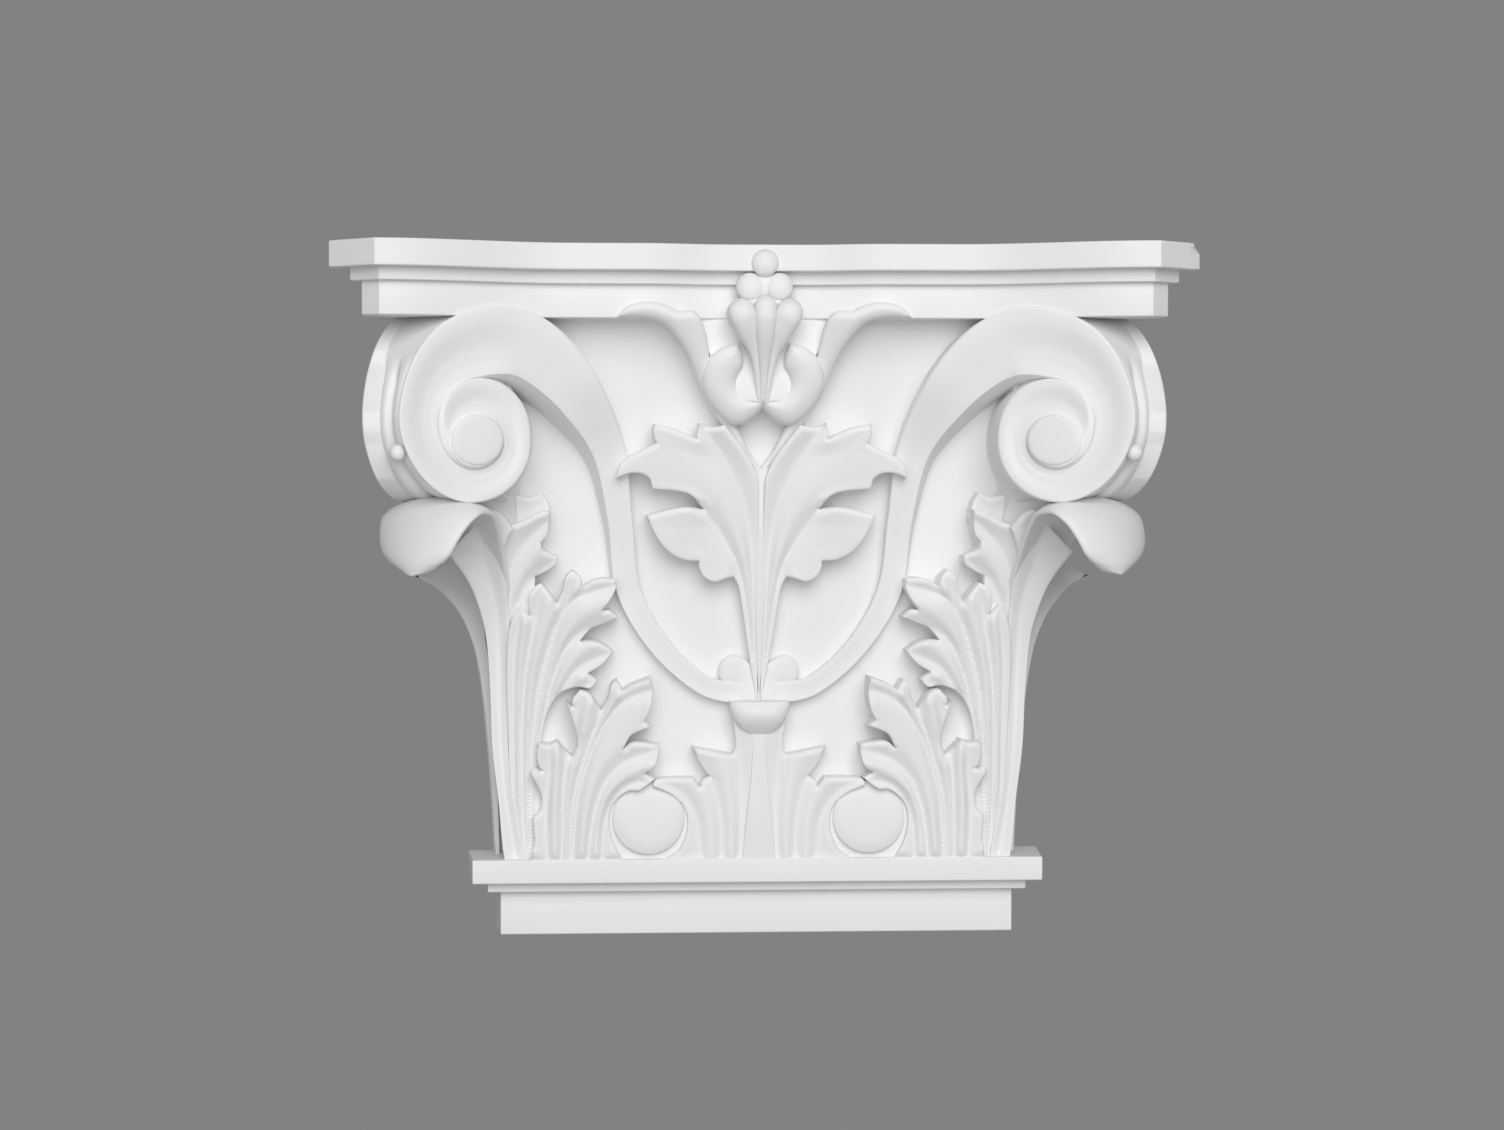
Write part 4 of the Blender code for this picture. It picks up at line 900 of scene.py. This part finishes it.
def volute_band(sizes, least=0.0):
    """The band from the calyx into the spiral: a lip and a hollow carried along it.

    Across the band w runs from -1 at the outer edge to 1 at the inner one, and the face
    falls by hollow h times a smooth step from the lip to the trough, deepest below the
    knob. Where the band enters the spiral, the face stops short of its inner edge and
    slopes down to it. The last turn rises to the knob behind a steep outer slope. The
    foot goes back no further than the least depth.
    """
    path, side, quarter = volute_path()
    w = np.r_[-1, -0.97, -0.93, np.linspace(-0.88, 0.94, 24), 0.975, 1]
    half = path[:, 2:3]
    along = np.arange(len(path))[:, None] - RISE_SPOTS
    gap = sizes.band_bevel * smoothstep(-95, -40, along) * (1 - smoothstep(-30, 8, along))
    gap = np.maximum(gap, 0.05 * MM)
    reach = half * w - gap * smoothstep(0.1, 1.0, w)
    x = path[:, 0:1] + side[:, 0:1] * reach
    z = path[:, 1:2] + side[:, 1:2] * reach
    mix = smoothstep(-45, 0, along)
    plane = path[:, 3:4] * (1 - mix) + disc_depth(x) * mix

    fall = smoothstep(-0.70, 0.25, w) * (1 - 0.30 * smoothstep(0.5, 1.0, w))
    lip = np.where(w < -0.88, (w + 0.88) / 0.12, 0)
    drop = sizes.band_hollow * half * fall * (1 - smoothstep(4.3, 5.3, quarter))
    drop = drop * (0.4 + 0.6 * smoothstep(-40, 10, along))
    drop = drop * (1 + 0.5 * np.exp(-((quarter - 2.0) / 0.8) ** 2) * smoothstep(0.3, 0.9, w))
    drop = drop + np.minimum(half * 0.12, 0.9 * MM) * lip ** 2
    slope_width = (0.3 + 3.0 * np.exp(-((quarter - 4.95) / 0.55) ** 2)
                   + 0.7 * smoothstep(5.0, 6.0, quarter)) * MM
    slope = np.clip((w + 1) * half / slope_width, 0, 1)
    knob = smoothstep(4.2, 5.6, quarter)
    drop = drop + (1.2 * knob + 1.4 * smoothstep(4.1, 4.9, quarter)) * MM * (1 - slope)
    face = place(x, plane - drop + 1.2 * MM * knob, z)
    low_x, low_z = (path[:, k:k + 1] + side[:, k:k + 1] * half for k in (0, 1))
    feet = [place(low_x, -face[:, -1:, 1] - 1.8 * gap, low_z)]
    taper = 1 - smoothstep(-16, 4, along)
    for share, draft in ((1, sizes.band_draft), (-1, 0.0)):
        out = np.clip(path[:, 3:4] - bell_depth(path[:, 1:2]), 0, 0.03) * draft * taper
        foot_x, foot_z = (path[:, k:k + 1] + side[:, k:k + 1] * (half * share + out) for k in (0, 1))
        floor = np.where(quarter > QUARTERS, disc_depth(foot_x) - INNER_WALL,
                         np.maximum(volute_floor(foot_x, foot_z), least))
        feet.append(place(foot_x, np.minimum(floor, plane[:, :1] - 0.004), foot_z))
    return skin(np.concatenate([face] + feet, axis=1))


def volute_knob():
    """The knob that the spiral ends in: a low dome with a rounded rim."""
    x, z = in_metres([EYE])[0]
    return boss(x, z, KNOB_RADIUS, disc_depth, KNOB_PROFILE, 72)


def corner_block(sizes):
    """The solid between front and side spiral, its rim cut by flutes.

    A ring round the front spiral is carried across to its mirror image in the corner
    plane, and its reach falls by bell curves of the share s across, one in the middle
    and one beside each face.
    """
    quarter = np.linspace(0, QUARTERS, 120, endpoint=False)
    share = np.linspace(0, 1, 45)[:, None]
    aside = np.abs(share - 0.5)
    flute = np.exp(-(aside / 0.11) ** 2) + 0.9 * np.exp(-((aside - 0.42) / 0.05) ** 2)
    lip = np.exp(-(np.minimum(share, 1 - share) / 0.02) ** 2)
    fade = smoothstep(0.85, 0.60, np.cos(np.pi / 2 * quarter))
    reach = spiral_reach(quarter) - (sizes.rim_flute * flute + 0.6 * MM * lip + 0.3 * MM) * fade
    x, z = about_eye(quarter, reach)
    front = place(x, disc_depth(x) - BLOCK_INSET, z)
    share = share[..., None]
    return skin(front * (1 - share) + across_corner(front) * share)


def rim_bead():
    """The bead on the near ridge of the rim, a little below the height of the eye."""
    x, z = about_eye(BEAD_QUARTER, spiral_reach(BEAD_QUARTER)[0] - BEAD_INSET)
    front = place(x, disc_depth(x), z)
    x, y, z = front * (1 - BEAD_SHARE) + across_corner(front) * BEAD_SHARE
    return sphere((x, -y, z - BASE), BEAD_RADIUS, rows=16, columns=24)


def corner_root():
    """The post that ties the corner block back to the bell, up into the abacus.

    Its plan shrinks about a point on the bell as it goes down, by the shares at heights
    in ROOT_STEPS.
    """
    plan = np.array(ROOT_PLAN)
    rings = [(field_z(up), plan[0] + (plan - plan[0]) * share) for up, share in ROOT_STEPS]
    rings.append((FASCIA_BOTTOM + SINK / 3, plan))
    return skin(np.stack([place(ring[:, 0], ring[:, 1], height) for height, ring in rings]))


# Corner leaf and side leaf

def tongue():
    """The smooth end of the corner leaf, hung out over the corner.

    A flat oval section, drooping at its edges, is carried along a line that leaves the
    bell, crests below the volute and hangs over.
    """
    x, z, half, depth = curve(in_metres(TONGUE), 60).T[:, :, None]
    slant = np.sqrt(0.5)
    run = (-np.gradient(x, axis=0) + np.gradient(depth, axis=0)) * slant
    rise = np.gradient(z, axis=0)
    length = np.hypot(run, rise)
    out_x, out_z = -rise / length, run / length
    turn = np.linspace(0, 2 * np.pi, 48, endpoint=False)[None, :]
    share = np.cos(turn)
    lift = TONGUE_THICKNESS / 2 * np.sign(np.sin(turn)) * np.abs(np.sin(turn)) ** 0.6
    lift = lift - TONGUE_DROOP * share ** 2
    return skin(place(x + slant * (half * share - out_x * lift),
                      depth + slant * (half * share + out_x * lift), z + out_z * lift))


def side_leaf():
    """Half a leaf on the side face, cut off by the wall.

    Its tip curls outward, its top slopes up to its outer edge, and a groove parts it
    from the bell.
    """
    line = curve(SIDE_LEAF, 40)
    out, z = line[:, 0:1], field_z(line[:, 1:2])
    wide = line[:, 2:3] / 100 * HALF_WIDTH
    face = bell_half_width(z)
    share = np.linspace(0, 1, 12)[None, :]
    bow = out - 0.0016 * np.sin(np.pi * share) - 0.0010 * smoothstep(0.8, 1.0, share)
    groove = np.minimum(out * 0.45, 0.0045)
    x = np.hstack([-face + SINK, -face - bow, -face - groove, -face - groove, -face + SINK])
    d = np.hstack([0 * wide, wide * share, wide * 0.96, wide * 0.3, wide * 0.3])
    tilt = SIDE_LEAF_SLOPE * smoothstep(0.5, 1.0, np.linspace(0, 1, len(line)))[:, None]
    inner = np.clip((x + face + out) / (out + SINK), 0, 1)
    return skin(place(x, d, z + tilt * inner))


# Paint

class Wire:
    """A socket that adds Math nodes when it is used in an expression."""

    def __init__(self, paint, socket):
        self.paint, self.socket = paint, socket

    def _math(self, operation, first, second):
        return self.paint.node('ShaderNodeMath', {'operation': operation}, {0: first, 1: second})

    def __add__(self, other):
        return self._math('ADD', self, other)

    __radd__ = __add__

    def __mul__(self, other):
        return self._math('MULTIPLY', self, other)

    __rmul__ = __mul__

    def __sub__(self, other):
        return self._math('SUBTRACT', self, other)

    def __rsub__(self, other):
        return self._math('SUBTRACT', other, self)


class Paint:
    """A node material under the hands of one maker."""

    def __init__(self, name):
        self.material = bpy.data.materials.new(name)
        self.material.use_nodes = True
        self.tree = self.material.node_tree
        self.shader = self.tree.nodes['Principled BSDF']

    def node(self, kind, settings, inputs, output=0):
        """A node of a type, with its settings first, then the values or links of its sockets."""
        node = self.tree.nodes.new(kind)
        for name, value in settings.items():
            setattr(node, name, value)
        for name, value in inputs.items():
            self.feed(node.inputs[name], value)
        return Wire(self, node.outputs[output])

    def noise(self, at, scale, detail):
        """A noise texture of a scale and detail at the given coordinates."""
        return self.node('ShaderNodeTexNoise', {'noise_dimensions': '3D'},
                         {'Vector': at, 'Scale': scale, 'Detail': detail}, 'Fac')

    def feed(self, socket, value):
        """Link a wire to a socket or set its value."""
        if isinstance(value, Wire):
            self.tree.links.new(value.socket, socket)
        else:
            socket.default_value = value


def white_paint(colours):
    """Primed white moulding: faint cloudiness, a little dust in it and a fine spray grain."""
    paint = Paint('white_paint')
    place_on_piece = paint.node('ShaderNodeTexCoord', {}, {}, 'Object')
    cloud = paint.noise(place_on_piece, 22.0, 3.0)
    speckle = paint.noise(place_on_piece, 900.0, 2.0)
    grain = paint.noise(place_on_piece, 1600.0, 2.0)
    wave = paint.noise(place_on_piece, 60.0, 1.0)
    white, shade = tuple(colours.white) + (1,), tuple(colours.shade) + (1,)
    base = paint.node('ShaderNodeMix', {'data_type': 'RGBA'},
                      {0: cloud * 0.8 + speckle * 0.2, 6: shade, 7: white}, 2)
    paint.feed(paint.shader.inputs['Base Color'], base)
    paint.feed(paint.shader.inputs['Roughness'], colours.roughness - 0.05 + cloud * 0.1)
    bump = paint.node('ShaderNodeBump', {}, {'Strength': colours.grain, 'Distance': 0.0002,
                                             'Height': grain * 0.35 + wave * 0.65})
    paint.feed(paint.shader.inputs['Normal'], bump)
    paint.shader.inputs['Specular IOR Level'].default_value = 0.35
    return paint.material


def plain(name, colour, roughness):
    """A plain material for the floor."""
    paint = Paint(name)
    paint.shader.inputs['Base Color'].default_value = tuple(colour) + (1,)
    paint.shader.inputs['Roughness'].default_value = roughness
    return paint.material


def put(name, shells, material, wall=OTHER_WALL):
    """One object from its shells, smooth but for its sharp edges."""
    verts, tris = gather(shells, wall)
    mesh = bpy.data.meshes.new(name)
    mesh.from_pydata(verts, [], tris)
    mesh.update()
    mesh.polygons.foreach_set('use_smooth', np.ones(len(tris), bool))
    mesh.set_sharp_from_angle(angle=np.radians(SHARP_ANGLE))
    mesh.materials.append(material)
    piece = bpy.data.objects.new(name, mesh)
    bpy.context.scene.collection.objects.link(piece)
    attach(piece, "root")
    return piece


def shared_paint():
    """The one white paint of all pieces."""
    found = bpy.data.materials.get('white_paint')
    return found or white_paint(bpy.context.scene.capital_colours)


# Sizes and colours that a user would change

class CapitalSizes(bpy.types.PropertyGroup):
    """Sizes of the finer carving."""
    edge_rounding: FloatProperty(name="Edge rounding", description="Rounding of the tiers' edges",
                                 default=0.0005, subtype='DISTANCE', unit='LENGTH')
    leaf_rounding: FloatProperty(name="Leaf rounding", description="Rounding of the leaves' rims",
                                 default=0.0006, subtype='DISTANCE', unit='LENGTH')
    leaf_grain: FloatProperty(name="Leaf facets", description="Distance between leaf facets",
                              default=0.0008, subtype='DISTANCE', unit='LENGTH')
    gutter_scale: FloatProperty(name="Gutter depth", description="Depth of the leaf gutters",
                                default=1.0, subtype='FACTOR')
    fold_width: FloatProperty(name="Fold width", description="Width of the folded upper rims",
                              default=0.0017, subtype='DISTANCE', unit='LENGTH')
    fold_depth: FloatProperty(name="Fold depth", description="Fall of the folded upper rims",
                              default=0.0011, subtype='DISTANCE', unit='LENGTH')
    tip_curl: FloatProperty(name="Tip curl", description="How far the lobe tips curl out",
                            default=0.0022, subtype='DISTANCE', unit='LENGTH')
    band_hollow: FloatProperty(name="Band hollow", description="Fall of the volute's trough",
                               default=0.25, subtype='FACTOR')
    band_bevel: FloatProperty(name="Band bevel", description="Width of the slope inside the band",
                              default=0.0030, subtype='DISTANCE', unit='LENGTH')
    band_draft: FloatProperty(name="Band draft", description="Slope of the band's inner wall",
                              default=0.20, subtype='FACTOR')
    rim_flute: FloatProperty(name="Rim flutes", description="Depth of the flutes on the rim",
                             default=0.0022, subtype='DISTANCE', unit='LENGTH')
    chip_width: FloatProperty(name="Chip width", description="Width of the chipped corner",
                              default=0.0024, subtype='DISTANCE', unit='LENGTH')
    chip_height: FloatProperty(name="Chip height", description="Height of the chipped corner",
                               default=0.0038, subtype='DISTANCE', unit='LENGTH')


class CapitalColours(bpy.types.PropertyGroup):
    """Colours and finish of the paint."""
    white: FloatVectorProperty(name="White", description="The paint at its cleanest",
                               default=(0.86, 0.86, 0.855), subtype='COLOR', size=3)
    shade: FloatVectorProperty(name="Shade", description="The paint at its dullest",
                               default=(0.80, 0.80, 0.795), subtype='COLOR', size=3)
    roughness: FloatProperty(name="Roughness", description="Mean roughness of the paint",
                             default=0.55, subtype='FACTOR')
    grain: FloatProperty(name="Spray grain", description="Strength of the spray grain",
                         default=0.12, subtype='FACTOR')


class StudioSizes(bpy.types.PropertyGroup):
    """Light and floor of the studio."""
    floor_drop: FloatProperty(name="Floor drop", description="Height of the capital over the floor",
                              default=1.2, subtype='DISTANCE', unit='LENGTH')
    key_power: FloatProperty(name="Key light", description="Power of the light above",
                             default=25.5, unit='POWER')
    fill_power: FloatProperty(name="Fill light", description="Power of the light in front",
                              default=12.5, unit='POWER')
    background: FloatVectorProperty(name="Background", description="Grey behind the capital",
                                    default=(0.223, 0.223, 0.216), subtype='COLOR', size=3)


# One operator for each piece

class CAPITAL_OT_body(bpy.types.Operator):
    """Foot, bell and abacus, in place of the CAD solid"""
    bl_idname = "capital.body"
    bl_label = "Foot, bell and abacus"

    def execute(self, context):
        shells = body_shells(context.scene.capital_sizes)
        piece = put("capital_body", shells, shared_paint(), 0.0)
        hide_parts("capital")
        return {'FINISHED'}


class CAPITAL_OT_leaves(bpy.types.Operator):
    """The leaves on the bell"""
    bl_idname = "capital.leaves"
    bl_label = "Leaves"

    def execute(self, context):
        sizes = context.scene.capital_sizes
        put("capital_leaves", both([leaf_shell(form, sizes) for form in LEAVES]), shared_paint())
        return {'FINISHED'}


class CAPITAL_OT_flower(bpy.types.Operator):
    """Stem, tendrils, flower and berries"""
    bl_idname = "capital.flower"
    bl_label = "Stem and flower"

    def execute(self, context):
        sizes = context.scene.capital_sizes
        left = [leaf_shell(form, sizes) for form in PLATES]
        left += [blade(SIDE_DROP, 0.9), berry(SIDE_BERRY), berry(DROP_BED, BED_SQUASH),
                 round_disc()]
        middle = [blade(STEM, 0.6, flat=True), blade(SPEAR, 0.08, flat=True),
                  blade(MIDDLE_DROP, 0.9), berry(TOP_BERRY), berry(BERRY_BED, BED_SQUASH),
                  calyx_cup(), leaf_shell(PANEL, sizes)]
        put("capital_flower", both(left) + middle, shared_paint())
        return {'FINISHED'}


class CAPITAL_OT_volutes(bpy.types.Operator):
    """The four volute faces and the corners between them"""
    bl_idname = "capital.volutes"
    bl_label = "Volutes"

    def execute(self, context):
        sizes = context.scene.capital_sizes
        front = [volute_band(sizes), volute_knob()]
        side = [to_side(volute_band(sizes, SIDE_FLOOR)), to_side(volute_knob())]
        left = front + side + [corner_block(sizes), corner_root(), rim_bead()]
        put("capital_volutes", both(left), shared_paint())
        return {'FINISHED'}


class CAPITAL_OT_corners(bpy.types.Operator):
    """Corner leaves' tongues and the half leaves on the sides"""
    bl_idname = "capital.corners"
    bl_label = "Corner and side leaves"

    def execute(self, context):
        put("capital_corners", both([tongue(), side_leaf()]), shared_paint())
        return {'FINISHED'}


def area_light(name, place_at, size, power):
    """A soft square light that looks at the middle of the wall face."""
    light = bpy.data.lights.new(name, 'AREA')
    light.shape, light.size, light.energy = 'SQUARE', size, power
    lamp = bpy.data.objects.new(name, light)
    lamp.matrix_world = aimed(place_at, -np.array(place_at))
    bpy.context.scene.collection.objects.link(lamp)


def aimed(place_at, way):
    """Matrix of a lamp or camera at a place that looks along a way, upright."""
    forward = np.array(way) / np.linalg.norm(way)
    right = np.cross(forward, (0, 0, 1.0))
    right /= np.linalg.norm(right)
    above = np.cross(right, forward)
    turn = np.eye(4)
    turn[:3, 0], turn[:3, 1], turn[:3, 2], turn[:3, 3] = right, above, -forward, place_at
    return Matrix(turn.tolist())


class CAPITAL_OT_studio(bpy.types.Operator):
    """Floor, light, background and camera"""
    bl_idname = "capital.studio"
    bl_label = "Studio"

    def execute(self, context):
        scene, studio = context.scene, context.scene.capital_studio
        floor_mesh = bpy.data.meshes.new("floor")
        reach, level = FLOOR_REACH, BASE - studio.floor_drop
        floor_mesh.from_pydata([(-reach, -reach, level), (reach, -reach, level),
                                (reach, reach, level), (-reach, reach, level)], [], [(0, 1, 2, 3)])
        floor_mesh.materials.append(plain("pale_floor", (0.62, 0.62, 0.61), 0.7))
        floor = bpy.data.objects.new("floor", floor_mesh)
        scene.collection.objects.link(floor)

        area_light("key", KEY_PLACE, KEY_SIZE, studio.key_power)
        area_light("fill", FILL_PLACE, FILL_SIZE, studio.fill_power)

        world = bpy.data.worlds.new("studio")
        scene.world = world
        world.use_nodes = True
        sky = world.node_tree.nodes['Background']
        sky.inputs['Color'].default_value = tuple(studio.background) + (1,)
        sky.inputs['Strength'].default_value = 1.0
        scene.view_settings.view_transform = 'Standard'

        lens = bpy.data.cameras.new("camera")
        lens.sensor_width = SENSOR_WIDTH
        lens.lens = FOCUS_SHARE * SENSOR_WIDTH
        camera = bpy.data.objects.new("camera", lens)
        yaw, pitch = np.radians(CAMERA_YAW), np.radians(CAMERA_PITCH)
        way = (np.sin(yaw) * np.cos(pitch), np.cos(yaw) * np.cos(pitch), -np.sin(pitch))
        camera.matrix_world = aimed(CAMERA_PLACE, way)
        scene.collection.objects.link(camera)
        scene.camera = camera
        return {'FINISHED'}


class CAPITAL_PT_panel(bpy.types.Panel):
    """Lists the pieces of the capital"""
    bl_idname = "CAPITAL_PT_panel"
    bl_label = "Pilaster capital"
    bl_space_type = 'VIEW_3D'
    bl_region_type = 'UI'
    bl_category = "Capital"

    def draw(self, context):
        for operator in OPERATORS:
            self.layout.operator(operator.bl_idname)


OPERATORS = (CAPITAL_OT_body, CAPITAL_OT_leaves, CAPITAL_OT_flower, CAPITAL_OT_volutes,
             CAPITAL_OT_corners, CAPITAL_OT_studio)
CLASSES = (CapitalSizes, CapitalColours, StudioSizes) + OPERATORS + (CAPITAL_PT_panel,)


def register():
    """Add the classes and the settings to Blender."""
    for item in CLASSES:
        bpy.utils.register_class(item)
    bpy.types.Scene.capital_sizes = PointerProperty(type=CapitalSizes)
    bpy.types.Scene.capital_colours = PointerProperty(type=CapitalColours)
    bpy.types.Scene.capital_studio = PointerProperty(type=StudioSizes)


def unregister():
    """Take them out again."""
    del bpy.types.Scene.capital_studio
    del bpy.types.Scene.capital_colours
    del bpy.types.Scene.capital_sizes
    for item in reversed(CLASSES):
        bpy.utils.unregister_class(item)


def main():
    """Build every piece."""
    register()
    for step in (bpy.ops.capital.body, bpy.ops.capital.leaves, bpy.ops.capital.flower,
                 bpy.ops.capital.volutes, bpy.ops.capital.corners, bpy.ops.capital.studio):
        step()


if __name__ == "__main__":
    main()
